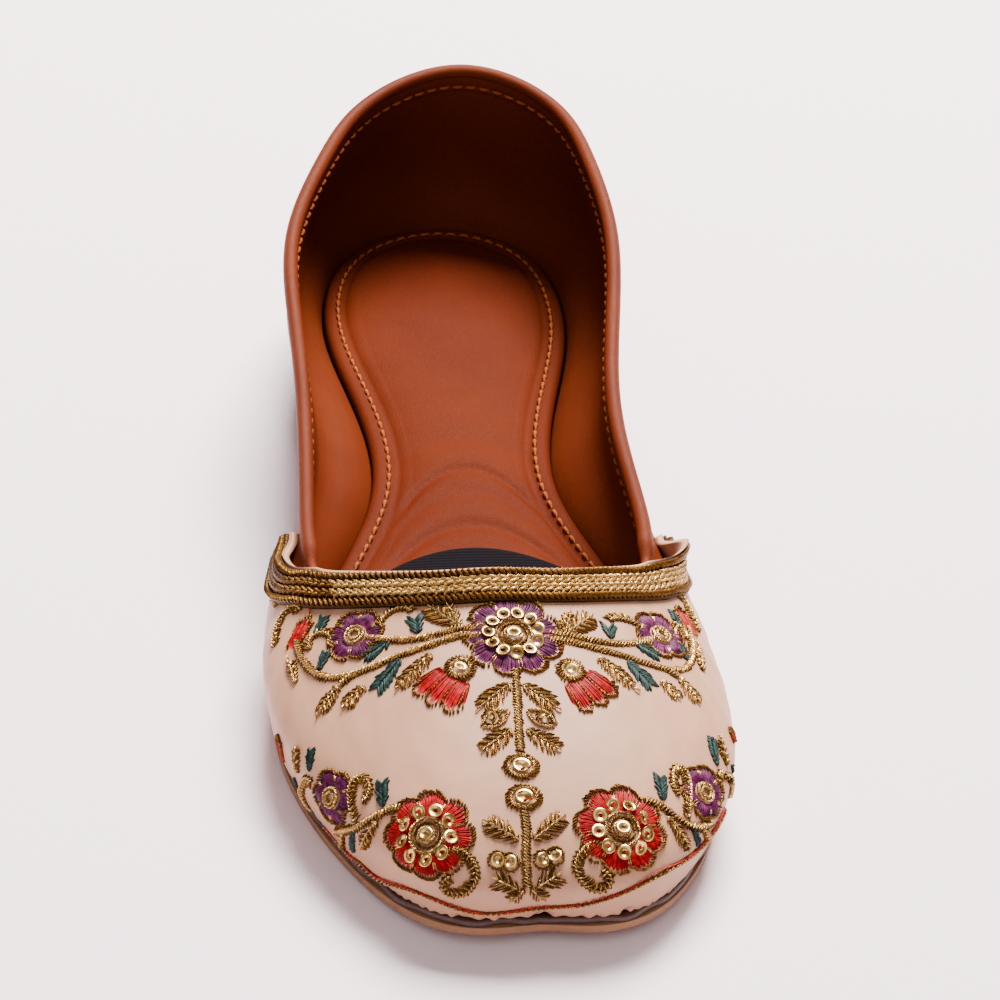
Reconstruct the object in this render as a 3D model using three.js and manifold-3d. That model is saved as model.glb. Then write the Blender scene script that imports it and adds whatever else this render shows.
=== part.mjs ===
// Mojari: a flat slip-on with a satin vamp over a brown leather body, women's size 38.
// Millimetres. +Z is up, +Y runs from toe to heel, and +X is the side with the hollower waist.
// Every curved piece comes from one function, lastPoint, which goes round the last and up it.

import * as THREE from 'three';
import { mergeVertices } from 'three/addons/utils/BufferGeometryUtils.js';
import Module from 'manifold-3d';

// Last
const LENGTH = 243;
const BALL_WIDTH = 90;
const INSTEP_HEIGHT = 38.5;
const COLLAR_HEIGHT = 55;
const TOE_SPRING = 3.2;
const TOE_PINCH = 1.3;
const HEEL_LIFT = 4;

// Walls and layers
const OUTSOLE_THICKNESS = 1.9;
const OUTSOLE_BEVEL = 0.5;
const WELT_THICKNESS = 1.3;
const UPPER_WALL = 2;
const RIM_RADIUS = 1.6;
const VAMP_THICKNESS = 1.2;
const INSOLE_THICKNESS = 5.8;
const INSOLE_CROWN = 1.4;
const LABEL_THICKNESS = 0.5;

// Margins and fits
const CLEARANCE = 0.3;
const BRAID_CLEARANCE = 0.45;
const SOLE_MARGIN = 0.9;
const WELT_MARGIN = 0.6;
const HEEL_INSET = 1.2;
const INSOLE_FIT = 0.5;
const THROAT_SETBACK = 1.2;

// Sock label: shares of LENGTH from the toe of its front edge and of the top of its rounded back, how
// far the back falls away, and its columns as shares of the footbed's half width
const LABEL_FRONT = 0.245;
const LABEL_BACK = 0.451;
const LABEL_ROUNDING = 0.072;
const LABEL_REACHES = [0.8, 0.65, 0.5, 0.25, 0, -0.25, -0.5, -0.65, -0.8];
const LABEL_STEPS = 8;

// Stitched border of the insole, from its bottom edge inwards.
// inset: share of the border's width. rise: share of the insole's thickness over the body's foot.
const INSOLE_BORDER_WIDTH = 5;
const INSOLE_BORDER = [
  { inset: 0.1, rise: 0 },
  { inset: 0, rise: 0.2 },
  { inset: 0, rise: 0.7 },
  { inset: 0.2, rise: 0.92 },
  { inset: 0.52, rise: 0.94 },
  { inset: 0.72, rise: 0.82 },
  { inset: 1, rise: 1.03 },
];

// Vamp wings, flared off the quarters at their corners
const WING_FLARE_INNER = 5.2;
const WING_FLARE_OUTER = 2.6;

// Braid on the throat edge: four laid cords side by side
const BRAID_CORDS = 4;
const BRAID_WIDTH = 7.8;
const BRAID_EDGE = 0.8;
const BRAID_BASE = 0.5;
const CORD_RISE = 0.7;

// The last as a ring of profiles, from the toe's centre line to the heel's, alike on both sides.
// foot is the edge on the sole, side is the widest point, edge is the topline or the throat.
// along: share of LENGTH from the toe. out: share of half BALL_WIDTH.
// sideHeight: share of the edge's own height. lean: slope in degrees at which the profile ends.
// Profiles under the vamp, edge heights as shares of INSTEP_HEIGHT
const VAMP_ROWS = [
  { footAlong: 0.008, footOut: 0.000, sideAlong: 0.004, sideOut: 0.000, sideHeight: 0.34,
    edgeAlong: 0.269, edgeOut: 0.000, edgeHeight: 1.000, lean: 11 },
  { footAlong: 0.017, footOut: 0.380, sideAlong: 0.014, sideOut: 0.412, sideHeight: 0.35,
    edgeAlong: 0.272, edgeOut: 0.210, edgeHeight: 0.975, lean: 12 },
  { footAlong: 0.080, footOut: 0.668, sideAlong: 0.080, sideOut: 0.735, sideHeight: 0.38,
    edgeAlong: 0.284, edgeOut: 0.415, edgeHeight: 0.920, lean: 15 },
  { footAlong: 0.167, footOut: 0.850, sideAlong: 0.166, sideOut: 0.925, sideHeight: 0.46,
    edgeAlong: 0.301, edgeOut: 0.590, edgeHeight: 0.850, lean: 22 },
  { footAlong: 0.262, footOut: 0.900, sideAlong: 0.262, sideOut: 0.960, sideHeight: 0.57,
    edgeAlong: 0.319, edgeOut: 0.710, edgeHeight: 0.802, lean: 36 },
];
// Profiles of the quarters, edge heights as shares of COLLAR_HEIGHT
const QUARTER_ROWS = [
  { footAlong: 0.358, footOut: 0.815, sideAlong: 0.357, sideOut: 0.895, sideHeight: 0.59,
    edgeAlong: 0.359, edgeOut: 0.775, edgeHeight: 0.562, lean: 66 },
  { footAlong: 0.450, footOut: 0.640, sideAlong: 0.450, sideOut: 0.795, sideHeight: 0.59,
    edgeAlong: 0.442, edgeOut: 0.758, edgeHeight: 0.610, lean: 84 },
  { footAlong: 0.552, footOut: 0.465, sideAlong: 0.549, sideOut: 0.725, sideHeight: 0.58,
    edgeAlong: 0.537, edgeOut: 0.745, edgeHeight: 0.681, lean: 88 },
  { footAlong: 0.658, footOut: 0.500, sideAlong: 0.652, sideOut: 0.765, sideHeight: 0.57,
    edgeAlong: 0.643, edgeOut: 0.785, edgeHeight: 0.753, lean: 88 },
  { footAlong: 0.758, footOut: 0.618, sideAlong: 0.754, sideOut: 0.812, sideHeight: 0.56,
    edgeAlong: 0.752, edgeOut: 0.798, edgeHeight: 0.826, lean: 86 },
  { footAlong: 0.853, footOut: 0.645, sideAlong: 0.855, sideOut: 0.770, sideHeight: 0.53,
    edgeAlong: 0.858, edgeOut: 0.680, edgeHeight: 0.895, lean: 82 },
  { footAlong: 0.945, footOut: 0.470, sideAlong: 0.947, sideOut: 0.560, sideHeight: 0.50,
    edgeAlong: 0.942, edgeOut: 0.470, edgeHeight: 0.950, lean: 80 },
  { footAlong: 0.988, footOut: 0.000, sideAlong: 1.000, sideOut: 0.000, sideHeight: 0.49,
    edgeAlong: 0.984, edgeOut: 0.000, edgeHeight: 1.000, lean: 78 },
];

// Sideways swing of the last at equal steps from toe to heel, as shares of BALL_WIDTH
const SWING_ROWS = [
  { sole: 0.038, collar: 0.038 },
  { sole: 0.029, collar: 0.028 },
  { sole: -0.004, collar: -0.019 },
  { sole: -0.008, collar: -0.026 },
  { sole: -0.004, collar: -0.034 },
  { sole: 0.000, collar: -0.024 },
  { sole: 0.002, collar: -0.005 },
  { sole: 0.004, collar: 0.030 },
  { sole: 0.017, collar: 0.062 },
];

// Share of LENGTH from the toe where the sole touches down, lifts into the arch and meets the heel
const TOUCH_DOWN = 0.14;
const ARCH_START = 0.30;
const HEEL_BREAST = 0.735;

// Share of LENGTH from the toe where the flat layers' spine starts and ends
const SPINE_TOE = 0.15;
const SPINE_HEEL = 0.88;

// Handles of a profile's two curves: shares of the way from the foot to the widest point, and from
// there to the edge. The vamp bulges out over the sole, and the quarters lean out straight from it.
const VAMP_FOOT_HANDLE = { out: 0.55, up: 0.2 };
const QUARTER_FOOT_HANDLE = { out: 0.16, up: 0.5 };
const SIDE_HANDLE_DOWN = 0.5;
const SIDE_HANDLE_UP = 0.33;
const EDGE_HANDLE = 0.36;
const SHORTEST_PLAN = 0.2 * BALL_WIDTH;

// Profile numbers, counted from the toe, where the vamp's parts start and end
const WING_START_STATION = 3.9;
const WING_PEAK_STATION = 4.95;
const WING_END_STATION = 5.4;
const WING_DROP = 0.27;
const RIM_START_STATION = 4.4;
const RIM_FULL_STATION = 4.9;
const PINCH_STATIONS = 0.45;

const HALF_RING = VAMP_ROWS.length + QUARTER_ROWS.length - 1;
const RING = 2 * HALF_RING;
const RING_STEPS = 96;
const SIDE_SHARE = 0.25;
const BODY_LINES = [0, 0.09, 0.17, 0.25, 0.38, 0.52, 0.66, 0.79, 0.9];
const BEAD_ANGLES = [25, 65, 115, 155];
const NORMAL_LEVEL = 0.12;

const wasm = await Module();
wasm.setup();

const lerp = THREE.MathUtils.lerp;
const smoothstep = THREE.MathUtils.smoothstep;

// Cubic curve through evenly spaced values: the weights are first spread so that it meets each.
function spread(values, neighbour) {
  const weights = values.slice();
  for (let pass = 0; pass < 40; pass++) {
    for (let k = 0; k < values.length; k++) {
      weights[k] = (6 * values[k] - neighbour(weights, k - 1) - neighbour(weights, k + 1)) / 4;
    }
  }
  return weights;
}

function blend(weightAt, position) {
  const k = Math.floor(position);
  const f = position - k;
  return (weightAt(k - 1) * (1 - f) ** 3
    + weightAt(k) * (3 * f ** 3 - 6 * f ** 2 + 4)
    + weightAt(k + 1) * (-3 * f ** 3 + 3 * f ** 2 + 3 * f + 1)
    + weightAt(k + 2) * f ** 3) / 6;
}

// One column of the profile tables, as a closed curve round the ring
function ringColumn(read) {
  const wrap = (list, k) => list[((k % RING) + RING) % RING];
  const values = Array.from({ length: RING }, (_, k) => {
    const station = Math.min(k, RING - k);
    const side = k <= HALF_RING ? 1 : -1;
    return station < VAMP_ROWS.length
      ? read(VAMP_ROWS[station], side, INSTEP_HEIGHT)
      : read(QUARTER_ROWS[station - VAMP_ROWS.length], side, COLLAR_HEIGHT);
  });
  const weights = spread(values, wrap);
  return (t) => blend((k) => wrap(weights, k), t);
}

const toeY = -LENGTH / 2;
const placeAlong = (share) => toeY + share * LENGTH;
const ring = {
  footY: ringColumn((row) => placeAlong(row.footAlong)),
  footX: ringColumn((row, side) => side * row.footOut * BALL_WIDTH / 2),
  sideY: ringColumn((row) => placeAlong(row.sideAlong)),
  sideX: ringColumn((row, side) => side * row.sideOut * BALL_WIDTH / 2),
  sideZ: ringColumn((row, side, height) => row.sideHeight * row.edgeHeight * height),
  edgeY: ringColumn((row) => placeAlong(row.edgeAlong)),
  edgeX: ringColumn((row, side) => side * row.edgeOut * BALL_WIDTH / 2),
  edgeZ: ringColumn((row, side, height) => row.edgeHeight * height),
  lean: ringColumn((row) => THREE.MathUtils.degToRad(row.lean)),
};

function swingColumn(name) {
  const last = SWING_ROWS.length - 1;
  const mirror = (list, k) => {
    if (k < 0) return 2 * list[0] - list[-k];
    if (k > last) return 2 * list[last] - list[2 * last - k];
    return list[k];
  };
  const weights = spread(SWING_ROWS.map((row) => row[name] * BALL_WIDTH), mirror);
  return (y) => blend((k) => mirror(weights, k), THREE.MathUtils.clamp((y - toeY) / LENGTH, 0, 0.9999) * last);
}
const swingSole = swingColumn('sole');
const swingCollar = swingColumn('collar');

// Underside of the sole's leather: toe spring, flat tread, arch and heel seat
function soleBottom(y) {
  const share = (y - toeY) / LENGTH;
  const spring = Math.max(0, (TOUCH_DOWN - share) / TOUCH_DOWN) ** 2;
  return TOE_SPRING * spring + HEEL_LIFT * smoothstep(share, ARCH_START, HEEL_BREAST);
}
const weltBottom = (y) => soleBottom(y) + OUTSOLE_THICKNESS + CLEARANCE;
const footHeight = (y) => weltBottom(y) + WELT_THICKNESS + CLEARANCE;

// Station number of a place t on the ring: 0 at the toe, HALF_RING at the heel
function station(t) {
  const wrapped = ((t % RING) + RING) % RING;
  return Math.min(wrapped, RING - wrapped);
}
const sideOf = (t) => ((((t % RING) + RING) % RING) <= HALF_RING ? 1 : -1);

function footPoint(t) {
  const pinch = TOE_PINCH * Math.exp(-((station(t) / PINCH_STATIONS) ** 2));
  const y = ring.footY(t) + pinch;
  return new THREE.Vector3(ring.footX(t) + swingSole(y), y, footHeight(y));
}

// Outside of the leather body at t round the ring and h up the profile, 0 on the sole, 1 at the edge
function lastPoint(t, h) {
  const foot = footPoint(t);
  const sideY = ring.sideY(t);
  const swing = (swingSole(sideY) + swingCollar(sideY)) / 2;
  const side = new THREE.Vector3(ring.sideX(t) + swing, sideY, ring.sideZ(t));
  if (h < SIDE_SHARE) {
    const out = side.clone().sub(foot);
    const quarter = smoothstep(station(t), VAMP_ROWS.length - 1, VAMP_ROWS.length + 1);
    const handleOut = lerp(VAMP_FOOT_HANDLE.out, QUARTER_FOOT_HANDLE.out, quarter);
    const handleUp = lerp(VAMP_FOOT_HANDLE.up, QUARTER_FOOT_HANDLE.up, quarter);
    const low = foot.clone().add(new THREE.Vector3(handleOut * out.x, handleOut * out.y, handleUp * out.z));
    const high = side.clone().sub(new THREE.Vector3(0, 0, SIDE_HANDLE_DOWN * out.z));
    return new THREE.CubicBezierCurve3(foot, low, high, side).getPoint(h / SIDE_SHARE);
  }
  const edgeY = ring.edgeY(t);
  const edge = new THREE.Vector3(ring.edgeX(t) + swingCollar(edgeY), edgeY, ring.edgeZ(t));
  const reach = edge.distanceTo(side);
  const plan = new THREE.Vector3(edge.x - side.x, edge.y - side.y, 0);
  plan.divideScalar(Math.max(plan.length(), SHORTEST_PLAN));
  const lean = ring.lean(t);
  const arrive = plan.multiplyScalar(Math.cos(lean)).add(new THREE.Vector3(0, 0, Math.sin(lean)));
  const rise = side.clone().add(new THREE.Vector3(0, 0, SIDE_HANDLE_UP * (edge.z - side.z)));
  const lead = edge.clone().addScaledVector(arrive.normalize(), -EDGE_HANDLE * reach);
  return new THREE.CubicBezierCurve3(side, rise, lead, edge).getPoint((h - SIDE_SHARE) / (1 - SIDE_SHARE));
}

// Outward normal and the direction up the profile. On the sole the normal is laid level.
function lastFrame(t, h) {
  const step = 1e-3;
  const low = Math.max(0, h - step);
  const high = Math.min(1, h + step);
  const round = lastPoint(t + step, h).sub(lastPoint(t - step, h));
  const up = lastPoint(t, high).sub(lastPoint(t, low)).normalize();
  const normal = round.cross(up).normalize();
  normal.z *= smoothstep(h, 0, NORMAL_LEVEL);
  return { normal: normal.normalize(), up };
}

const offsetPoint = (t, h, offset) => lastPoint(t, h).addScaledVector(lastFrame(t, h).normal, offset);

// Top edges as shares of the profile: the wings of the vamp drop below the rim of the quarters
const vampTop = (t) => 1 - WING_DROP * smoothstep(station(t), WING_START_STATION, WING_END_STATION);

// Length in mm that one whole profile would have, judged near the height given
function profileLength(t, top) {
  const step = 0.05;
  return lastPoint(t, top).distanceTo(lastPoint(t, top - step)) / step;
}

function bodyTop(t) {
  return 1 - THROAT_SETBACK / profileLength(t, 1) * (1 - smoothstep(station(t), RIM_START_STATION, RIM_FULL_STATION));
}

function wingFlare(t, h) {
  const s = station(t);
  const peak = smoothstep(s, WING_START_STATION, WING_PEAK_STATION) * (1 - smoothstep(s, WING_PEAK_STATION, WING_END_STATION));
  const flare = sideOf(t) > 0 ? WING_FLARE_INNER : WING_FLARE_OUTER;
  return flare * peak * smoothstep(h / vampTop(t), 0.1, 0.95);
}

// Triangles over a grid of points. closedRows joins the last row to the first, closedColumns joins
// the last point of each row to its first.
function gridTriangles(rows, closedRows, closedColumns) {
  const points = [];
  const rowCount = rows.length - (closedRows ? 0 : 1);
  const columnCount = rows[0].length - (closedColumns ? 0 : 1);
  for (let i = 0; i < rowCount; i++) {
    const here = rows[i];
    const next = rows[(i + 1) % rows.length];
    for (let j = 0; j < columnCount; j++) {
      const k = (j + 1) % here.length;
      points.push(here[j], next[j], next[k], here[j], next[k], here[k]);
    }
  }
  return points;
}

const geometryOf = (points) => mergeVertices(new THREE.BufferGeometry().setFromPoints(points), 1e-4);

// A sheet with two faces of equal grids, its four borders closed
function sheetBody(outer, inner) {
  const loops = outer.map((row, i) => [...row, ...inner[i].slice().reverse()]);
  const last = outer.length - 1;
  return geometryOf([
    ...gridTriangles(loops, false, true),
    ...gridTriangles([inner[0], outer[0]], false, false),
    ...gridTriangles([outer[last], inner[last]], false, false),
  ]);
}

const ringPlaces = Array.from({ length: RING_STEPS }, (_, k) => k * RING / RING_STEPS);

// Spine of the flat layers: both halves of the ring meet on it
function spinePoint(t) {
  const share = (ring.footY(t) - toeY) / LENGTH;
  const y = placeAlong(lerp(SPINE_TOE, SPINE_HEEL, share));
  return new THREE.Vector3(swingSole(y), y, 0);
}

// Edge of a flat layer, a margin outside the body's foot
function outlinePoint(t, margin) {
  const step = 1e-2;
  const round = footPoint(t + step).sub(footPoint(t - step));
  const outward = new THREE.Vector3(round.y, -round.x, 0).normalize();
  return footPoint(t).addScaledVector(outward, margin);
}

// A flat layer through a profile from the middle of its underside, round its edge, to its middle.
// reach runs from 0 on the spine to 1 at the edge, margin moves the edge, z is a height for a given y.
function layerBody(profile) {
  const rows = ringPlaces.map((t) => profile.map(({ reach, margin, z }) => {
    const point = spinePoint(t).lerp(outlinePoint(t, margin), reach);
    return point.setZ(z(point.y));
  }));
  return geometryOf(gridTriangles(rows, true, false));
}

function toSolid(geometry) {
  const bare = geometry.clone();
  bare.deleteAttribute('normal');
  bare.deleteAttribute('uv');
  const merged = mergeVertices(bare, 1e-4);
  return new wasm.Manifold(new wasm.Mesh({
    numProp: 3,
    vertProperties: new Float32Array(merged.attributes.position.array),
    triVerts: new Uint32Array(merged.index.array),
  }));
}

function fromSolid(solid) {
  const mesh = solid.getMesh();
  return new THREE.BufferGeometry()
    .setAttribute('position', new THREE.BufferAttribute(new Float32Array(mesh.vertProperties), 3))
    .setIndex(new THREE.BufferAttribute(new Uint32Array(mesh.triVerts), 1));
}

// Margin of the sole's edge: wider where the vamp lies outside the body
const vampCover = VAMP_THICKNESS + CLEARANCE;

// Outsole: one cut of tan leather with rounded edges, and a low heel piece joined under its seat
function outsole() {
  const edge = vampCover + SOLE_MARGIN;
  const bottomEdge = edge - OUTSOLE_BEVEL;
  const topEdge = edge - OUTSOLE_BEVEL / 2;
  const top = (y) => soleBottom(y) + OUTSOLE_THICKNESS;
  const leather = layerBody([
    { reach: 0, margin: bottomEdge, z: soleBottom },
    { reach: 0.6, margin: bottomEdge, z: soleBottom },
    { reach: 1, margin: bottomEdge, z: soleBottom },
    { reach: 1, margin: edge, z: (y) => soleBottom(y) + OUTSOLE_BEVEL },
    { reach: 1, margin: edge, z: (y) => top(y) - OUTSOLE_BEVEL / 2 },
    { reach: 1, margin: topEdge, z: top },
    { reach: 0.6, margin: topEdge, z: top },
    { reach: 0, margin: topEdge, z: top },
  ]);
  const breastY = placeAlong(HEEL_BREAST);
  const outline = ringPlaces
    .map((t) => outlinePoint(t, edge - HEEL_INSET))
    .filter((point) => point.y > breastY);
  const first = outline[0];
  const last = outline[outline.length - 1];
  const shape = new THREE.Shape();
  shape.moveTo(first.x, breastY);
  outline.forEach((point) => shape.lineTo(point.x, point.y));
  shape.lineTo(last.x, breastY);
  shape.quadraticCurveTo((first.x + last.x) / 2, breastY + 0.1 * BALL_WIDTH, first.x, breastY);
  const heel = new THREE.ExtrudeGeometry(shape, {
    depth: HEEL_LIFT + OUTSOLE_THICKNESS / 2,
    bevelEnabled: false,
    curveSegments: 8,
  });
  return fromSolid(toSolid(leather).add(toSolid(heel)));
}

// Welt: the dark leather layer between the outsole and the upper, its edge in view all round
function welt() {
  const edge = vampCover + WELT_MARGIN;
  const top = (y) => weltBottom(y) + WELT_THICKNESS;
  return layerBody([
    { reach: 0, margin: edge, z: weltBottom },
    { reach: 0.6, margin: edge, z: weltBottom },
    { reach: 1, margin: edge, z: weltBottom },
    { reach: 1, margin: edge, z: top },
    { reach: 0.6, margin: edge, z: top },
    { reach: 0, margin: edge, z: top },
  ]);
}

// Upper: brown leather body with its lining, one hollow wall, its collar rolled over into a bead
function upper() {
  return geometryOf(gridTriangles(ringPlaces.map((t) => {
    const top = bodyTop(t);
    const outsideLines = [...BODY_LINES.map((line) => line * vampTop(t)), top];
    const insideLines = outsideLines.filter((line, k) => k % 2 === 1 || k === 0).reverse();
    const outside = outsideLines.map((h) => lastPoint(t, h));
    const inside = insideLines.map((h) => offsetPoint(t, h, -UPPER_WALL));
    const { normal, up } = lastFrame(t, top);
    const roll = smoothstep(station(t), RIM_START_STATION, RIM_FULL_STATION);
    const radius = lerp(UPPER_WALL / 2, RIM_RADIUS, roll);
    const middle = lastPoint(t, top).addScaledVector(normal, -UPPER_WALL / 2);
    const bead = BEAD_ANGLES.map((degrees) => {
      const angle = THREE.MathUtils.degToRad(degrees);
      return middle.clone()
        .addScaledVector(normal, radius * Math.cos(angle))
        .addScaledVector(up, radius * Math.sin(angle));
    });
    return [...outside, ...bead, ...inside];
  }), true, true));
}

const vampSteps = 2 * Math.round(WING_END_STATION * RING_STEPS / RING);
const vampPlaces = Array.from({ length: vampSteps + 1 }, (_, k) => lerp(-WING_END_STATION, WING_END_STATION, k / vampSteps));

// Vamp: cream satin on its backing, from the sole over the toes to the throat, with a wing each side
function vamp() {
  const lines = [...BODY_LINES, 1];
  const face = (lift) => vampPlaces.map((t) => lines.map((line) => {
    const h = line * vampTop(t);
    return offsetPoint(t, h, lift + wingFlare(t, h));
  }));
  return sheetBody(face(CLEARANCE + VAMP_THICKNESS), face(CLEARANCE));
}

// Throat braid: four gold cords laid side by side along the vamp's top edge, from wing to wing
function throatBraid() {
  const steps = 2 * BRAID_CORDS;
  const face = (ridge) => vampPlaces.map((t) => {
    const top = vampTop(t);
    const length = profileLength(t, top);
    return Array.from({ length: steps + 1 }, (_, k) => {
      const down = BRAID_EDGE + BRAID_WIDTH * (1 - k / steps);
      const h = top - down / length;
      const rise = BRAID_CLEARANCE + ridge * (BRAID_BASE + (k % 2) * CORD_RISE);
      return offsetPoint(t, h, vampCover + wingFlare(t, h) + rise);
    });
  });
  return sheetBody(face(1), face(0));
}

const insoleEdge = -UPPER_WALL - INSOLE_FIT;

// Height of the footbed over the body's foot, at a reach from the spine
const footbedTop = (y, reach) => footHeight(y) + INSOLE_THICKNESS + INSOLE_CROWN * (1 - reach ** 2);

// Insole: padded brown leather, its stitched border sunk a little below the crowned middle
function insole() {
  const border = INSOLE_BORDER.map(({ inset, rise }) => ({
    reach: 1, margin: insoleEdge - inset * INSOLE_BORDER_WIDTH, z: (y) => footHeight(y) + rise * INSOLE_THICKNESS,
  }));
  const middle = [0.8, 0.5, 0].map((reach) => ({
    reach, margin: insoleEdge, z: (y) => footbedTop(y, reach),
  }));
  return layerBody([{ reach: 0, margin: insoleEdge, z: footHeight }, ...border, ...middle]);
}

// Place on the footbed at a signed reach from the spine and a given y, found by halving the ring
function footbedPoint(signed, y) {
  const reach = Math.abs(signed);
  const side = signed < 0 ? -1 : 1;
  const place = (t) => spinePoint(side * t).lerp(outlinePoint(side * t, insoleEdge), reach);
  let low = 0;
  let high = HALF_RING;
  for (let step = 0; step < 30; step++) {
    const middle = (low + high) / 2;
    if (place(middle).y < y) low = middle;
    else high = middle;
  }
  const point = place(low);
  return point.setZ(footbedTop(point.y, reach));
}

// Sock label: bare black cloth patch on the insole, half under the vamp, its back edge rounded
function sockLabel() {
  const face = (lift) => Array.from({ length: LABEL_STEPS + 1 }, (_, i) => LABEL_REACHES.map((signed) => {
    const back = LABEL_BACK - LABEL_ROUNDING * signed ** 2;
    const point = footbedPoint(signed, placeAlong(lerp(LABEL_FRONT, back, i / LABEL_STEPS)));
    return point.setZ(point.z + lift);
  }));
  return sheetBody(face(CLEARANCE + LABEL_THICKNESS), face(CLEARANCE));
}

function finish(color, roughness, metalness = 0) {
  return new THREE.MeshStandardMaterial({ color, roughness, metalness });
}

const pieces = [
  ['outsole', outsole(), finish(0xb98a62, 0.7)],
  ['welt', welt(), finish(0x4a2c20, 0.75)],
  ['upper', upper(), finish(0x9a4a24, 0.5)],
  ['vamp', vamp(), finish(0xd8c4b2, 0.45)],
  ['throat_braid', throatBraid(), finish(0xb08a4a, 0.4, 0.6)],
  ['insole', insole(), finish(0xa04f28, 0.45)],
  ['sock_label', sockLabel(), finish(0x141318, 0.8)],
];

const shoe = new THREE.Group();
for (const [name, geometry, material] of pieces) {
  const mesh = new THREE.Mesh(geometry, material);
  mesh.name = name;
  shoe.add(mesh);
}

// The origin is under the middle of the whole shoe's box, on the floor
const box = new THREE.Box3().setFromObject(shoe);
shoe.position.set(-(box.min.x + box.max.x) / 2, -(box.min.y + box.max.y) / 2, -box.min.z);
const mojari = new THREE.Group();
mojari.add(shoe);

export default mojari;
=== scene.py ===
# Mojari: a flat slip-on with a satin vamp embroidered in gold zari over a brown leather body.
# Metres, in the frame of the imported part: +Z up, +Y from toe to heel.

import math

import bmesh
import bpy
import numpy as np
from mathutils import Matrix, Vector


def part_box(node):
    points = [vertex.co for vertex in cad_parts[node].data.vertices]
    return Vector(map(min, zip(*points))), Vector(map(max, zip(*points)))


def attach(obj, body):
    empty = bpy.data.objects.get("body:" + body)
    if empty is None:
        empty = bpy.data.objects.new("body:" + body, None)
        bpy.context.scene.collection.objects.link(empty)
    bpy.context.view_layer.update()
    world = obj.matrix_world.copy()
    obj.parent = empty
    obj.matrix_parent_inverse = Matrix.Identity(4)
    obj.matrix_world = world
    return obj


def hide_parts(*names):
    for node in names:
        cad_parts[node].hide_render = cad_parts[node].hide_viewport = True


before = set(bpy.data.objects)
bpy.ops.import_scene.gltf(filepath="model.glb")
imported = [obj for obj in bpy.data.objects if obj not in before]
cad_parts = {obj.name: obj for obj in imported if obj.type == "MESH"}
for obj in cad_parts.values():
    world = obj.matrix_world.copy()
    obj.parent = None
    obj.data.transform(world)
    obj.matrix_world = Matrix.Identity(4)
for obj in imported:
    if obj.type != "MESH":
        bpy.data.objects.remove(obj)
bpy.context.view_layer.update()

# Outsole
# One cut of tan vegetable-tanned leather, its edges rounded, with toe spring, a flat tread and an arch.
# A maker cuts it to the foot of the last, so the last's own profiles stand here: the ring goes round
# from the toe on the +X side to the heel and back, and h goes up each profile from the sole to the edge.
LENGTH = 0.243
BALL_WIDTH = 0.090
INSTEP_HEIGHT = 0.0385
COLLAR_HEIGHT = 0.055
TOE_SPRING = 0.0032
TOE_PINCH = 0.0013
HEEL_LIFT = 0.004
OUTSOLE_THICKNESS = 0.0019
WELT_THICKNESS = 0.0013
CLEARANCE = 0.0003
VAMP_THICKNESS = 0.0012
UPPER_WALL = 0.002
SOLE_MARGIN = 0.0009
OUTSOLE_BEVEL = 0.0005
TOUCH_DOWN, ARCH_START, HEEL_BREAST = 0.14, 0.30, 0.735
SPINE_TOE, SPINE_HEEL = 0.15, 0.88
PINCH_STATIONS = 0.45
SIDE_SHARE = 0.25
# The vamp bulges out over the sole, and the quarters lean out straight from it
VAMP_FOOT_HANDLE = (0.55, 0.55, 0.2)
QUARTER_FOOT_HANDLE = (0.16, 0.16, 0.5)
PROFILE_COLUMNS = (
    "foot_along", "foot_out", "side_along", "side_out", "side_height",
    "edge_along", "edge_out", "edge_height", "lean",
)
VAMP_ROWS = (
    (0.008, 0.000, 0.004, 0.000, 0.34, 0.269, 0.000, 1.000, 11),
    (0.017, 0.380, 0.014, 0.412, 0.35, 0.272, 0.210, 0.975, 12),
    (0.080, 0.668, 0.080, 0.735, 0.38, 0.284, 0.415, 0.920, 15),
    (0.167, 0.850, 0.166, 0.925, 0.46, 0.301, 0.590, 0.850, 22),
    (0.262, 0.900, 0.262, 0.960, 0.57, 0.319, 0.710, 0.802, 36),
)
QUARTER_ROWS = (
    (0.358, 0.815, 0.357, 0.895, 0.59, 0.359, 0.775, 0.562, 66),
    (0.450, 0.640, 0.450, 0.795, 0.59, 0.442, 0.758, 0.610, 84),
    (0.552, 0.465, 0.549, 0.725, 0.58, 0.537, 0.745, 0.681, 88),
    (0.658, 0.500, 0.652, 0.765, 0.57, 0.643, 0.785, 0.753, 88),
    (0.758, 0.618, 0.754, 0.812, 0.56, 0.752, 0.798, 0.826, 86),
    (0.853, 0.645, 0.855, 0.770, 0.53, 0.858, 0.680, 0.895, 82),
    (0.945, 0.470, 0.947, 0.560, 0.50, 0.942, 0.470, 0.950, 80),
    (0.988, 0.000, 1.000, 0.000, 0.49, 0.984, 0.000, 1.000, 78),
)
SOLE_SWING = (0.038, 0.029, -0.004, -0.008, -0.004, 0.000, 0.002, 0.004, 0.017)
COLLAR_SWING = (0.038, 0.028, -0.019, -0.026, -0.034, -0.024, -0.005, 0.030, 0.062)
HALF_RING = len(VAMP_ROWS) + len(QUARTER_ROWS) - 1
RING = 2 * HALF_RING
RING_STEPS = 640


def smoothstep(value, start, end):
    """3 x^2 - 2 x^3, where x runs from 0 at start to 1 at end."""
    x = np.clip((value - start) / (end - start), 0, 1)
    return x * x * (3 - 2 * x)


def cubic(weight_at, position):
    """Uniform cubic B-spline: four neighbouring weights blended by the place between two of them."""
    k = np.floor(position).astype(int)
    f = position - k
    return (weight_at(k - 1) * (1 - f) ** 3 + weight_at(k) * (3 * f**3 - 6 * f**2 + 4)
            + weight_at(k + 1) * (-3 * f**3 + 3 * f**2 + 3 * f + 1) + weight_at(k + 2) * f**3) / 6


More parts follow.
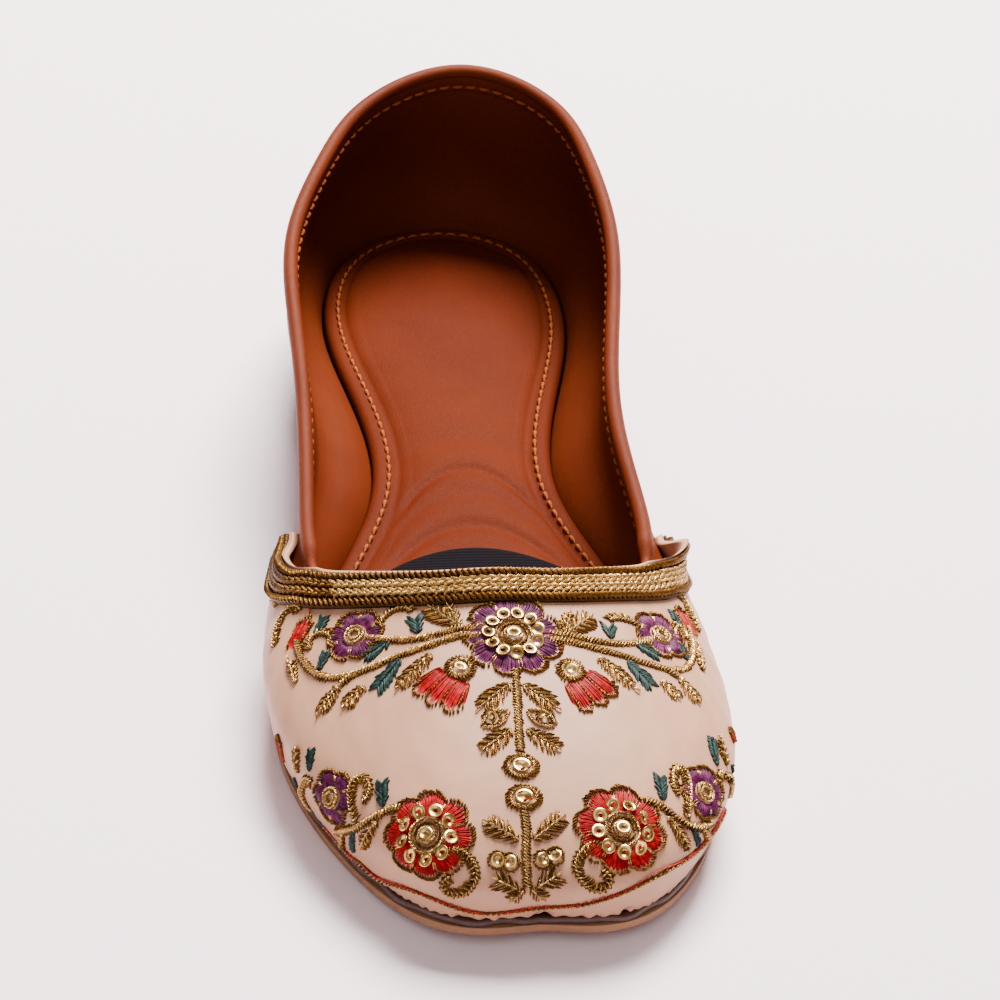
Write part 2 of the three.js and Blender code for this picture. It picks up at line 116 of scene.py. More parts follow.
def closed_curve(values):
    """Closed curve through evenly spaced values: (before + 4 here + after) / 6 of its weights meets each."""
    count = len(values)
    beside = np.roll(np.eye(count), 1, 0) + np.roll(np.eye(count), -1, 0)
    weights = np.linalg.solve((4 * np.eye(count) + beside) / 6, values)
    return lambda position: cubic(lambda k: weights[k % count], position)


def open_curve(values):
    """The same through an open row of values, carried on past both ends by point reflection."""
    count = len(values)
    matrix = (4 * np.eye(count) + np.eye(count, k=1) + np.eye(count, k=-1)) / 6
    matrix[0] = np.eye(count)[0]
    matrix[-1] = np.eye(count)[-1]
    weights = np.linalg.solve(matrix, values)
    carried = np.concatenate([[2 * weights[0] - weights[1]], weights, [2 * weights[-1] - weights[-2]]])
    return lambda position: cubic(lambda k: carried[np.clip(k + 1, 0, count + 1)], position)


def ring_curve(column, scale, mirrored=False):
    """One column of the profile rows as a closed curve, its sign turned on the -X side if mirrored."""
    k = PROFILE_COLUMNS.index(column)
    low, high = scale
    half = np.array([row[k] * low for row in VAMP_ROWS] + [row[k] * high for row in QUARTER_ROWS])
    back = half[-2:0:-1]
    return closed_curve(np.concatenate([half, -back if mirrored else back]))


half_width = (BALL_WIDTH / 2, BALL_WIDTH / 2)
along = (LENGTH, LENGTH)
heights = (INSTEP_HEIGHT, COLLAR_HEIGHT)
side_share_rows = [row[4] * row[7] * INSTEP_HEIGHT for row in VAMP_ROWS]
side_share_rows += [row[4] * row[7] * COLLAR_HEIGHT for row in QUARTER_ROWS]
ring = {
    "foot_y": ring_curve("foot_along", along), "foot_x": ring_curve("foot_out", half_width, True),
    "side_y": ring_curve("side_along", along), "side_x": ring_curve("side_out", half_width, True),
    "side_z": closed_curve(np.array(side_share_rows + side_share_rows[-2:0:-1])),
    "edge_y": ring_curve("edge_along", along), "edge_x": ring_curve("edge_out", half_width, True),
    "edge_z": ring_curve("edge_height", heights),
    "lean": ring_curve("lean", (math.pi / 180, math.pi / 180)),
}
sole_swing = open_curve(np.array(SOLE_SWING) * BALL_WIDTH)
collar_swing = open_curve(np.array(COLLAR_SWING) * BALL_WIDTH)


def swing_at(curve, y):
    """Sideways bend of the last at a place y along it."""
    return curve(np.clip(y / LENGTH + 0.5, 0, 0.9999) * (len(SOLE_SWING) - 1))


def sole_bottom(y):
    """Underside of the sole: a parabola of toe spring, a flat tread, an S-curve up into the arch."""
    share = y / LENGTH + 0.5
    spring = np.maximum(0, (TOUCH_DOWN - share) / TOUCH_DOWN) ** 2
    return TOE_SPRING * spring + HEEL_LIFT * smoothstep(share, ARCH_START, HEEL_BREAST)


def foot_height(y):
    """Height of the upper's foot: the sole and the welt, each with its clearance."""
    return sole_bottom(y) + OUTSOLE_THICKNESS + WELT_THICKNESS + 2 * CLEARANCE


def station(t):
    """Profile number of a place on the ring: 0 at the toe, HALF_RING at the heel."""
    return HALF_RING - np.abs(np.mod(t, RING) - HALF_RING)


def foot_point(t):
    """Foot of the body: the ring's foot line, pushed in at the toe's centre by a narrow bell."""
    y = ring["foot_y"](t) - LENGTH / 2 + TOE_PINCH * np.exp(-((station(t) / PINCH_STATIONS) ** 2))
    return np.stack([ring["foot_x"](t) + swing_at(sole_swing, y), y, foot_height(y)], -1)


def bezier(a, b, c, d, f):
    """Cubic Bezier curve from a to d with handles b and c, at shares f."""
    f = f[..., None]
    return a * (1 - f) ** 3 + 3 * b * f * (1 - f) ** 2 + 3 * c * f**2 * (1 - f) + d * f**3


def unit(vector):
    """The vector at length 1."""
    return vector / np.maximum(np.linalg.norm(vector, axis=-1, keepdims=True), 1e-12)


def last_point(t, h):
    """Outside of the leather body: two cubic curves, foot to widest point and widest point to edge."""
    t, h = np.broadcast_arrays(np.asarray(t, float), np.asarray(h, float))
    foot = foot_point(t)
    side_y = ring["side_y"](t) - LENGTH / 2
    swing = (swing_at(sole_swing, side_y) + swing_at(collar_swing, side_y)) / 2
    side = np.stack([ring["side_x"](t) + swing, side_y, ring["side_z"](t)], -1)
    out = side - foot
    rising = np.array([0.0, 0.0, 1.0])
    quarter = smoothstep(station(t), len(VAMP_ROWS) - 1, len(VAMP_ROWS) + 1)[..., None]
    handle = np.array(VAMP_FOOT_HANDLE) * (1 - quarter) + np.array(QUARTER_FOOT_HANDLE) * quarter
    lower = bezier(foot, foot + out * handle, side - 0.5 * out[..., 2:] * rising, side,
                   np.clip(h / SIDE_SHARE, 0, 1))
    edge_y = ring["edge_y"](t) - LENGTH / 2
    edge = np.stack([ring["edge_x"](t) + swing_at(collar_swing, edge_y), edge_y, ring["edge_z"](t)], -1)
    span = edge - side
    plan = span * [1, 1, 0]
    plan = plan / np.maximum(np.linalg.norm(plan, axis=-1, keepdims=True), 0.2 * BALL_WIDTH)
    lean = ring["lean"](t)[..., None]
    arrive = unit(plan * np.cos(lean) + rising * np.sin(lean))
    reach = np.linalg.norm(span, axis=-1, keepdims=True)
    upper = bezier(side, side + 0.33 * span[..., 2:] * rising, edge - 0.36 * reach * arrive, edge,
                   np.clip((h - SIDE_SHARE) / (1 - SIDE_SHARE), 0, 1))
    return np.where((h < SIDE_SHARE)[..., None], lower, upper)


def last_frame(t, h):
    """Outward normal and direction up the profile, from differences; the normal is level at the foot."""
    step = 1e-3
    t, h = np.broadcast_arrays(np.asarray(t, float), np.asarray(h, float))
    across = last_point(t + step, h) - last_point(t - step, h)
    up = unit(last_point(t, np.minimum(h + step, 1)) - last_point(t, np.maximum(h - step, 0)))
    normal = unit(np.cross(across, up))
    normal = unit(normal * np.stack([np.ones_like(h), np.ones_like(h), smoothstep(h, 0, 0.12)], -1))
    return normal, up


def outline_point(t, margin):
    """Edge of a flat layer: the body's foot moved outwards in plan by a margin."""
    step = 1e-2
    across = foot_point(t + step) - foot_point(t - step)
    outward = unit(np.stack([across[..., 1], -across[..., 0], 0 * t], -1))
    return foot_point(t) + outward * np.asarray(margin)[..., None]


def spine_point(t):
    """Middle line of the flat layers, on which both halves of the ring meet."""
    share = ring["foot_y"](t) / LENGTH
    y = (SPINE_TOE + (SPINE_HEEL - SPINE_TOE) * share - 0.5) * LENGTH
    return np.stack([swing_at(sole_swing, y), y, 0 * y], -1)


def layer_grid(t, reach, margin, height):
    """Flat layer: from the spine to the outline by reach, its height a function of y and the column."""
    spine = spine_point(t)[:, None, :]
    edge = outline_point(t[:, None], margin[None, :])
    points = spine + (edge - spine) * reach[None, :, None]
    points[..., 2] = height(points[..., 1], np.arange(len(reach))[None, :])
    return points


# The part's frame is the last's own, moved so that the whole shoe's box stands over the origin
WELT_MARGIN = 0.0006
vamp_cover = VAMP_THICKNESS + CLEARANCE
cad_ring = np.arange(96) * RING / 96
welt_edge = outline_point(cad_ring, np.full(96, vamp_cover + WELT_MARGIN))
welt_low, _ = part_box("welt")
row_shift = np.array([
    welt_low[0] - welt_edge[:, 0].min(), welt_low[1] - welt_edge[:, 1].min(), 0.0,
])


def mesh_piece(name, vertices, faces, node, uv=None, stands_for=True):
    """An object from arrays of vertices and equal-sided faces, riding on the shoe as a piece."""
    mesh = bpy.data.meshes.new(name)
    mesh.vertices.add(len(vertices))
    mesh.vertices.foreach_set("co", (vertices + row_shift).ravel())
    mesh.loops.add(faces.size)
    mesh.loops.foreach_set("vertex_index", faces.ravel())
    mesh.polygons.add(len(faces))
    mesh.polygons.foreach_set("loop_start", np.arange(0, faces.size, faces.shape[1]))
    if uv is not None:
        layer = mesh.uv_layers.new(name="UVMap")
        layer.uv.foreach_set("vector", uv[faces].ravel())
    mesh.update(calc_edges=True)
    mesh.polygons.foreach_set("use_smooth", np.ones(len(faces), bool))
    piece = bpy.data.objects.new(name, mesh)
    bpy.context.collection.objects.link(piece)
    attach(piece, "root")
    if stands_for:
        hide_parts(node)
    return piece


def grid_faces(rows, columns, closed_rows, closed_columns):
    """Four corners of every square of a grid, joined round where it is closed."""
    i = np.arange(rows if closed_rows else rows - 1)[:, None]
    j = np.arange(columns if closed_columns else columns - 1)[None, :]
    after_i, after_j = (i + 1) % rows, (j + 1) % columns
    corners = [i * columns + j, after_i * columns + j, after_i * columns + after_j, i * columns + after_j]
    return np.stack(corners, -1).reshape(-1, 4)


def node(tree, kind, inputs=None, **settings):
    """Adds a shader node: its settings, then its inputs as values or as sockets to link."""
    added = tree.nodes.new(kind)
    for key, value in settings.items():
        setattr(added, key, value)
    for key, value in (inputs or {}).items():
        if isinstance(value, bpy.types.NodeSocket):
            tree.links.new(value, added.inputs[key])
        else:
            added.inputs[key].default_value = value
    return added


def linear(colour):
    """An sRGB hex colour as linear red, green, blue and 1."""
    parts = [int(colour[k:k + 2], 16) / 255 for k in (1, 3, 5)]
    return (*[p / 12.92 if p <= 0.04045 else ((p + 0.055) / 1.055) ** 2.4 for p in parts], 1.0)


def new_material(name, **shader_inputs):
    """A named material with one Principled shader; inputs given are set on its own sockets."""
    material = bpy.data.materials.new(name)
    material.use_nodes = True
    tree = material.node_tree
    shader = tree.nodes["Principled BSDF"]
    for key, value in shader_inputs.items():
        shader.inputs[key.replace("_", " ")].default_value = value
    return material, tree, shader


def ramp(tree, fac, stops):
    """A colour ramp from (place, colour) stops."""
    added = node(tree, "ShaderNodeValToRGB", {"Fac": fac})
    elements = added.color_ramp.elements
    while len(elements) < len(stops):
        elements.new(0.5)
    for element, (place, colour) in zip(elements, stops):
        element.position = place
        element.color = linear(colour)
    return added.outputs["Color"]


def leather_material(name, stops, roughness, grain_mm, grain_height, **shader_inputs):
    """Finished leather: a cloudy dye, a fine pebbled grain of raised cells and a roughness that varies."""
    material, tree, shader = new_material(name, **shader_inputs)
    place = node(tree, "ShaderNodeTexCoord").outputs["Object"]
    cloud = node(tree, "ShaderNodeTexNoise", {"Vector": place, "Scale": 38.0, "Detail": 5.0}).outputs["Fac"]
    tree.links.new(ramp(tree, cloud, stops), shader.inputs["Base Color"])
    warp = node(tree, "ShaderNodeTexNoise",
                {"Vector": place, "Scale": 900.0, "Detail": 2.0}).outputs["Color"]
    moved = node(tree, "ShaderNodeMix", {"Factor": 0.0006, "A": place, "B": warp}, data_type="VECTOR")
    cells = node(tree, "ShaderNodeTexVoronoi",
                 {"Vector": moved.outputs["Result"], "Scale": 1000 / grain_mm},
                 feature="DISTANCE_TO_EDGE")
    grain = node(tree, "ShaderNodeMapRange", {"Value": cells.outputs["Distance"], "From Max": 0.18})
    bump = node(tree, "ShaderNodeBump", {"Height": grain.outputs["Result"], "Strength": 0.35,
                                         "Distance": grain_height})
    tree.links.new(bump.outputs["Normal"], shader.inputs["Normal"])
    rough = node(tree, "ShaderNodeMapRange", {"Value": cloud, "To Min": roughness - 0.06,
                                              "To Max": roughness + 0.08})
    tree.links.new(rough.outputs["Result"], shader.inputs["Roughness"])
    return material


ring_places = np.arange(RING_STEPS) * RING / RING_STEPS
sole_edge = vamp_cover + SOLE_MARGIN
# Profile of the sole from the middle of its underside round its edge, rounded by two quarter circles
quarter = np.radians(np.linspace(0, 90, 5))
sole_bottom_arc = OUTSOLE_BEVEL * np.stack([np.sin(quarter) - 1, 1 - np.cos(quarter)], -1)
sole_top_arc = OUTSOLE_BEVEL / 2 * np.stack([np.cos(quarter) - 1, np.sin(quarter) - 1], -1)
sole_arcs = np.concatenate([sole_bottom_arc, sole_top_arc + [0, OUTSOLE_THICKNESS]])
sole_reach = np.concatenate([[0, 0.3, 0.6, 0.85], np.ones(len(sole_arcs)), [0.6, 0]])
sole_inset = np.concatenate([np.full(4, -OUTSOLE_BEVEL), sole_arcs[:, 0], np.full(2, -OUTSOLE_BEVEL / 2)])
sole_rise = np.concatenate([np.zeros(4), sole_arcs[:, 1], np.full(2, OUTSOLE_THICKNESS)])
sole_points = layer_grid(ring_places, sole_reach, sole_edge + sole_inset,
                         lambda y, k: sole_bottom(y) + sole_rise[k])
tan_leather = leather_material(
    "vegetable_tanned_leather", [(0.3, "#84583a"), (0.7, "#9c7250")], roughness=0.62, grain_mm=0.5,
    grain_height=0.0002)
outsole = mesh_piece("outsole_leather", sole_points.reshape(-1, 3),
                     grid_faces(RING_STEPS, len(sole_reach), True, False), "outsole")
outsole.data.materials.append(tan_leather)

# Heel
# A low piece of the same tan leather pasted and nailed under the seat, its breast cut in a shallow curve.
# Its edge is set in a little from the sole's, and its lower rim is rounded by rasping.
HEEL_INSET = 0.0012
HEEL_RIM = 0.0006
BREAST_CURVE = 0.1 * BALL_WIDTH / 2
breast_y = (HEEL_BREAST - 0.5) * LENGTH
seat = outline_point(ring_places, np.full(RING_STEPS, sole_edge - HEEL_INSET))
seat = seat[seat[:, 1] > breast_y]
share = np.linspace(0, 1, 34)[1:-1, None]
breast = seat[-1] + (seat[0] - seat[-1]) * share
breast[:, 1] = breast_y + BREAST_CURVE * 4 * (share * (1 - share))[:, 0]
heel_loop = np.concatenate([seat, breast])
heel_middle = heel_loop.mean(0)


def merged(piece):
    """Welds the points that meet on a seam or a pole, so that the piece is one closed shell."""
    welder = bmesh.new()
    welder.from_mesh(piece.data)
    bmesh.ops.remove_doubles(welder, verts=welder.verts, dist=1e-6)
    bmesh.ops.recalc_face_normals(welder, faces=welder.faces)
    welder.to_mesh(piece.data)
    welder.free()
    return piece


heel_arc = np.stack([HEEL_RIM * (1 - np.sin(quarter)), HEEL_RIM * (1 - np.cos(quarter))], -1)
heel_height = HEEL_LIFT + OUTSOLE_THICKNESS / 2
heel_rings = [heel_middle + (heel_loop - heel_middle) * reach for reach in (0.0, 0.5)]
heel_rings += [heel_loop + unit(heel_middle - heel_loop) * inset for inset in heel_arc[:, 0]]
heel_rings += [heel_loop, heel_middle + (heel_loop - heel_middle) * 0.0]
heel_points = np.stack(heel_rings, 1)
heel_points[..., 2] = np.concatenate([[0, 0], heel_arc[:, 1], [heel_height, heel_height]])
heel_piece = merged(mesh_piece("heel_piece", heel_points.reshape(-1, 3),
                               grid_faces(len(heel_loop), len(heel_rings), True, False),
                               "outsole"))
heel_piece.data.materials.append(tan_leather)
merged(outsole)

# Welt
# A dark-brown leather strip between the sole and the upper, its cut edge in view all round.
# The edge is burnished, so it is smooth, a little rounded and uneven by a fraction of a millimetre.
WELT_ROUND = 0.0004
WELT_RIPPLE = 0.00012
welt_ripple = WELT_RIPPLE * (np.sin(ring_places * 9.0) + 0.583 * np.sin(ring_places * 14.0 + 1.3))
welt_arc = WELT_ROUND * np.stack([np.cos(np.radians([-90, -45, 0, 45, 90])) - 1,
                                  np.sin(np.radians([-90, -45, 0, 45, 90]))], -1)
welt_arc[:3, 1] += WELT_ROUND
welt_arc[3:, 1] += WELT_THICKNESS - WELT_ROUND
welt_reach = np.concatenate([[0, 0.6], np.ones(5), [0.6, 0]])
welt_rise = np.concatenate([[0, 0], welt_arc[:, 1], np.full(2, WELT_THICKNESS)])
welt_inset = np.concatenate([np.full(2, -WELT_ROUND), welt_arc[:, 0], np.full(2, -WELT_ROUND)])
welt_points = layer_grid(ring_places, welt_reach, vamp_cover + WELT_MARGIN + welt_inset,
                         lambda y, k: sole_bottom(y) + OUTSOLE_THICKNESS + CLEARANCE + welt_rise[k])
welt_points[:, 2:7, :2] *= 1 + welt_ripple[:, None, None] / (BALL_WIDTH / 2)
welt = merged(mesh_piece("welt_strip", welt_points.reshape(-1, 3),
                         grid_faces(RING_STEPS, len(welt_reach), True, False), "welt"))
welt.data.materials.append(leather_material(
    "burnished_edge_leather", [(0.35, "#37211b"), (0.7, "#4e3029")], roughness=0.5, grain_mm=0.4,
    grain_height=0.00015))

# Upper
# The brown body: smooth leather and its lining sewn back to back as one 2 mm wall, with the collar's
# edge rolled over into a bead. It is open underneath, where the sole closes it, and hollow inside.
RIM_RADIUS = 0.0016
RIM_START, RIM_FULL = 4.4, 4.9
THROAT_SETBACK = 0.0012
BINDING_DEPTH = 0.0042
SEAM_DEPTH = 0.0034
SEAM_TROUGH = 0.00022


def profile_length(t, top):
    """Length that one whole profile would have, judged just below a height on it."""
    step = 0.05
    return np.linalg.norm(last_point(t, top) - last_point(t, top - step), axis=-1) / step


rim_roll = smoothstep(station(ring_places), RIM_START, RIM_FULL)
rim_length = profile_length(ring_places, np.ones(RING_STEPS))
body_top = 1 - THROAT_SETBACK / rim_length * (1 - rim_roll)
climb = np.linspace(0, 1, 30)
outside = last_point(ring_places[:, None], body_top[:, None] * climb[None, :])
rim_normal, rim_up = last_frame(ring_places, body_top)
rim_middle = outside[:, -1] - rim_normal * UPPER_WALL / 2
rim_radius = UPPER_WALL / 2 + (RIM_RADIUS - UPPER_WALL / 2) * rim_roll
turn = np.radians(np.linspace(-38, 218, 18))
bead = (rim_middle[:, None, :]
        + rim_normal[:, None, :] * (rim_radius[:, None] * np.cos(turn))[..., None]
        + rim_up[:, None, :] * (rim_radius[:, None] * np.sin(turn))[..., None])
# The inside climbs down again: the binding's lip steps back to the lining, and the seam sinks in it
descent = 1 - np.concatenate([np.linspace(0, 0.16, 22), np.linspace(0.16, 1, 22)[1:]])
inner_h = body_top[:, None] * descent[None, :]
below_rim = (body_top[:, None] - inner_h) * rim_length[:, None]
lip = 0.00035 * rim_roll[:, None] * (1 - smoothstep(below_rim, BINDING_DEPTH, BINDING_DEPTH + 0.0004))
seam = SEAM_TROUGH * rim_roll[:, None] * np.exp(-(((below_rim - SEAM_DEPTH) / 0.0007) ** 2))
inner_normal, _ = last_frame(ring_places[:, None], inner_h)
inside = last_point(ring_places[:, None], inner_h) - inner_normal * (UPPER_WALL + lip - seam)[..., None]
upper_points = np.concatenate([outside[:, :-1], bead, inside[:, 2:]], 1)
upper_columns = upper_points.shape[1]
body_leather = leather_material(
    "smooth_brown_leather", [(0.25, "#541e0b"), (0.75, "#62280f")], roughness=0.42, grain_mm=0.35,
    grain_height=0.00012, Specular_IOR_Level=0.06)
upper = mesh_piece("leather_body", upper_points.reshape(-1, 3),
                   grid_faces(RING_STEPS, upper_columns, True, True), "upper")
upper.data.materials.append(body_leather)

# Seam thread
# Thick tan polyester thread in a lockstitch, about eight stitches to the inch, round the collar's
# binding and round the insole's border. Each stitch is a short bar that dips into the leather at its ends.
STITCH_PITCH = 0.0031
STITCH_LENGTH = 0.0024
STITCH_WIDTH = 0.0010
STITCH_RISE = 0.0004


def threads(start, end, normal, width, rise):
    """Closed spindles with diamond sections: narrow and sunk at both ends, full between them."""
    start, end, normal = (np.asarray(v, float) for v in (start, end, normal))
    width, rise = (np.broadcast_to(v, len(start))[:, None, None, None] for v in (width, rise))
    share = np.array([0.0, 0.24, 0.76, 1.0])[None, :, None, None]
    full = np.array([0.35, 1.0, 1.0, 0.35])[None, :, None, None]
    lift = np.array([-0.35, 0.55, 0.55, -0.35])[None, :, None, None]
    across = np.array([-0.5, 0.0, 0.5, 0.0])[None, None, :, None]
    above = np.array([0.0, 1.0, 0.0, -0.8])[None, None, :, None]
    side = unit(np.cross(normal, end - start))
    middle = start[:, None, None, :] + (end - start)[:, None, None, :] * share
    points = (middle + side[:, None, None, :] * width * across * full
              + normal[:, None, None, :] * rise * (lift + above * full))
    body = grid_faces(4, 4, False, True)[:, ::-1]
    caps = np.array([[0, 1, 2, 3], [15, 14, 13, 12]])
    faces = np.concatenate([body, caps])[None] + 16 * np.arange(len(start))[:, None, None]
    uv = np.stack(np.broadcast_arrays(
        share[..., 0] * np.linalg.norm(end - start, axis=-1)[:, None, None],
        np.arange(4)[None, None, :] / 4), -1)
    return points.reshape(-1, 3), faces.reshape(-1, 4), uv.reshape(-1, 2)


def thread_piece(name, parts, node_name, material):
    """One piece from many lists of stitches, each (start, end, normal, width, rise)."""
    points, faces, uvs, count = [], [], [], 0
    for part in parts:
        vertices, corners, uv = threads(*part)
        points.append(vertices)
        faces.append(corners + count)
        uvs.append(uv)
        count += len(vertices)
    piece = mesh_piece(name, np.concatenate(points), np.concatenate(faces), node_name,
                       np.concatenate(uvs), stands_for=False)
    piece.data.materials.append(material)
    return piece


def along_line(points, spacing, length=None):
    """Places at even spacing on a polyline: (indices as floats) of the middles of the steps."""
    steps = np.linalg.norm(np.diff(points, axis=0), axis=1)
    run = np.concatenate([[0], np.cumsum(steps)])
    count = max(1, int(round(run[-1] / spacing)))
    middles = (np.arange(count) + 0.5) * run[-1] / count
    half = (length or spacing) / 2
    return [np.interp(np.clip(middles + shift, 0, run[-1]), run, np.arange(len(points)))
            for shift in (-half, half)]


def sample(values, index):
    """Rows of an array at places between its rows."""
    low = np.clip(np.floor(index).astype(int), 0, len(values) - 2)
    f = (index - low)[:, None]
    return values[low] * (1 - f) + values[low + 1] * f


def seam_stitches(line, normals, pitch, length, width, rise):
    """A row of stitches along a line that lies on a surface with these normals."""
    begin, finish = along_line(line, pitch, length)
    normal = unit(sample(normals, (begin + finish) / 2))
    return sample(line, begin), sample(line, finish), normal, width, rise


thread_tan, tree, shader = new_material("tan_polyester_thread", Roughness=0.6, Specular_IOR_Level=0.1)
place = node(tree, "ShaderNodeUVMap").outputs["UV"]
twist = node(tree, "ShaderNodeTexWave", {"Vector": place, "Scale": 500.0, "Distortion": 0.4},
             bands_direction="DIAGONAL")
thread_colour = ramp(tree, twist.outputs["Fac"], [(0.0, "#743412"), (1.0, "#a0521e")])
tree.links.new(thread_colour, shader.inputs["Base Color"])
bump = node(tree, "ShaderNodeBump", {"Height": twist.outputs["Fac"], "Strength": 0.3, "Distance": 0.0001})
tree.links.new(bump.outputs["Normal"], shader.inputs["Normal"])

collar = np.linspace(RIM_FULL - 0.25, RING - RIM_FULL + 0.25, 1200)
collar_h = 1 - SEAM_DEPTH / profile_length(collar, np.ones(len(collar)))
collar_normal, _ = last_frame(collar, collar_h)
collar_line = last_point(collar, collar_h) - collar_normal * (UPPER_WALL + 0.0002)
collar_stitches = seam_stitches(collar_line, -collar_normal, STITCH_PITCH, STITCH_LENGTH, STITCH_WIDTH,
                                STITCH_RISE)
thread_piece("collar_stitches", [collar_stitches], "upper", thread_tan)

# Insole
# A foam pad covered in the same brown leather, laid in the shoe. Its border is pressed flat and
# stitched; inside the stitches a soft channel sinks before the padded middle swells up again.
# The ball of the foot has pressed a few shallow curved creases across it in front of the waist.
INSOLE_THICKNESS = 0.0058
INSOLE_CROWN = 0.0014
INSOLE_FIT = 0.0005
INSOLE_SEAM = 0.0030
SEAM_LEVEL = 0.925
INSOLE_BORDER = np.array([
    (0.5, 0.00), (0.15, 0.06), (0.0, 0.20), (0.0, 0.62), (0.25, 0.80), (0.8, 0.91), (1.6, 0.955),
    (2.4, 0.95), (3.0, 0.91), (3.6, 0.85), (4.2, 0.81), (4.8, 0.87), (5.6, 1.00),
])
# Columns of the border between which the pad is pressed outwards, and the share of the wall's lean it takes
FLARE_START, FLARE_FULL, FLARE_FALL = 2, 4, 7
FLARE_SHARE = 0.55
FLARE_LEVEL = 0.8
FLARE_LIMIT = 0.009
INSOLE_CREASES = (
    {"y": 0.016, "bend": -60.0, "depth": 0.0007, "width": 0.0018},
    {"y": -0.003, "bend": -42.0, "depth": 0.0008, "width": 0.0022},
    {"y": 0.008, "bend": -50.0, "depth": 0.0003, "width": 0.0026},
    {"y": 0.027, "bend": -30.0, "depth": 0.0004, "width": 0.0032},
)
insole_edge = -UPPER_WALL - INSOLE_FIT
# The pad's border is pressed out against the wall, which leans outwards above its foot
wall_h = np.linspace(0, SIDE_SHARE, 40)
wall = last_point(ring_places[:, None], wall_h[None, :])
outward = unit(outline_point(ring_places, np.ones(RING_STEPS)) - foot_point(ring_places))
wall_out = ((wall - wall[:, :1]) * outward[:, None, :]).sum(-1)
wall_level = wall[..., 2] - wall[:, :1, 2]
border_level = FLARE_LEVEL * INSOLE_THICKNESS
above = np.clip((wall_level < border_level).sum(1), 1, len(wall_h) - 1)[:, None]
levels = [np.take_along_axis(wall_level, above - k, 1)[:, 0] for k in (1, 0)]
outs = [np.take_along_axis(wall_out, above - k, 1)[:, 0] for k in (1, 0)]
border_flare = outs[0] + (outs[1] - outs[0]) * (border_level - levels[0]) / (levels[1] - levels[0])
border_flare = np.clip(border_flare, 0, FLARE_LIMIT)


def crease_sink(x, y):
    """Depth of the creases: troughs with bell-shaped sections along parabolas across the insole."""
    sink = 0 * y
    for crease in INSOLE_CREASES:
        away = (y - crease["y"] - crease["bend"] * x**2) / crease["width"]
        sink = sink + crease["depth"] * np.exp(-away**2) * (1 - smoothstep(np.abs(x), 0.012, 0.026))
    return sink


def footbed_top(y, reach):
    """Top of the padded middle: flat at the border, swelling as a parabola to the spine."""
    return foot_height(y) + INSOLE_THICKNESS + INSOLE_CROWN * (1 - reach**2)


border_count = len(INSOLE_BORDER)
middle_reach = np.linspace(1, 0, 26)[2:]
insole_reach = np.concatenate([[0], np.ones(border_count), middle_reach])
border_inset = -INSOLE_BORDER[:, 0] / 1000
insole_inset = np.concatenate([[0], border_inset, np.full(len(middle_reach), border_inset[-1])])
insole_rise = np.concatenate([[0], INSOLE_BORDER[:, 1]]) * INSOLE_THICKNESS


def insole_height(y, k):
    """Height of each column: the border's table, then the crown above it."""
    low = foot_height(y) + insole_rise[np.minimum(k, border_count)]
    return np.where(k <= border_count, low, footbed_top(y, insole_reach[k]) - 0.0003 * insole_reach[k] ** 6)


insole_points = layer_grid(ring_places, insole_reach, insole_edge + insole_inset, insole_height)
flare_share = np.interp(np.arange(len(insole_reach)), (FLARE_START, FLARE_FULL, FLARE_FALL, border_count),
                        (0, FLARE_SHARE, FLARE_SHARE, 0))
insole_points[..., :2] += outward[:, None, :2] * (border_flare[:, None] * flare_share)[..., None]
on_top = (np.arange(len(insole_reach)) > border_count - 3)[None, :]
insole_points[..., 2] -= np.where(on_top, crease_sink(insole_points[..., 0], insole_points[..., 1]), 0)
insole = merged(mesh_piece("padded_insole", insole_points.reshape(-1, 3),
                           grid_faces(RING_STEPS, len(insole_reach), True, False), "insole"))
insole.data.materials.append(leather_material(
    "padded_brown_leather", [(0.25, "#491808"), (0.75, "#56200b")], roughness=0.48, grain_mm=0.45,
    grain_height=0.00014, Specular_IOR_Level=0.022))

# The stitches follow the border's flare at their own distance from the edge, once round
seam_columns = slice(FLARE_FULL + 1, border_count + 1)
stitch_share = np.interp(INSOLE_SEAM, -insole_inset[seam_columns], flare_share[seam_columns])
once_round = np.arange(RING_STEPS + 1) % RING_STEPS
border_line = outline_point(ring_places, np.full(RING_STEPS, insole_edge - INSOLE_SEAM))[once_round]
border_line[:, :2] += (outward[:, :2] * border_flare[:, None] * stitch_share)[once_round]
border_line[:, 2] = foot_height(border_line[:, 1]) + SEAM_LEVEL * INSOLE_THICKNESS
upright = np.tile([0.0, 0.0, 1.0], (len(border_line), 1))
border_stitches = seam_stitches(border_line, upright, STITCH_PITCH, STITCH_LENGTH, STITCH_WIDTH,
                                STITCH_RISE)
thread_piece("insole_stitches", [border_stitches], "insole", thread_tan)

# Sock label
# A patch of plain black grosgrain, cut with a round rear edge and pasted on the insole, half under the
# vamp. It lies on the crown of the insole and dips a little with its creases.
LABEL_FRONT, LABEL_BACK, LABEL_ROUNDING = 0.245, 0.451, 0.072
LABEL_THICKNESS = 0.0005
label_share = np.linspace(0, 1, 60)[:, None]
label_reach = np.linspace(0.8, -0.8, 81)[None, :]
label_y = LABEL_FRONT + (LABEL_BACK - LABEL_ROUNDING * label_reach**2 - LABEL_FRONT) * label_share
label_y = (label_y - 0.5) * LENGTH
low_t, high_t = np.zeros(label_y.shape), np.full(label_y.shape, float(HALF_RING))
for _ in range(26):
    label_t = (low_t + high_t) / 2 * np.where(label_reach < 0, -1, 1)
    label_rim = outline_point(label_t, np.full(label_t.shape, insole_edge))
    label_place = spine_point(label_t) + (label_rim - spine_point(label_t)) * np.abs(label_reach)[..., None]
    short = label_place[..., 1] < label_y
    low_t, high_t = np.where(short, np.abs(label_t), low_t), np.where(short, high_t, np.abs(label_t))
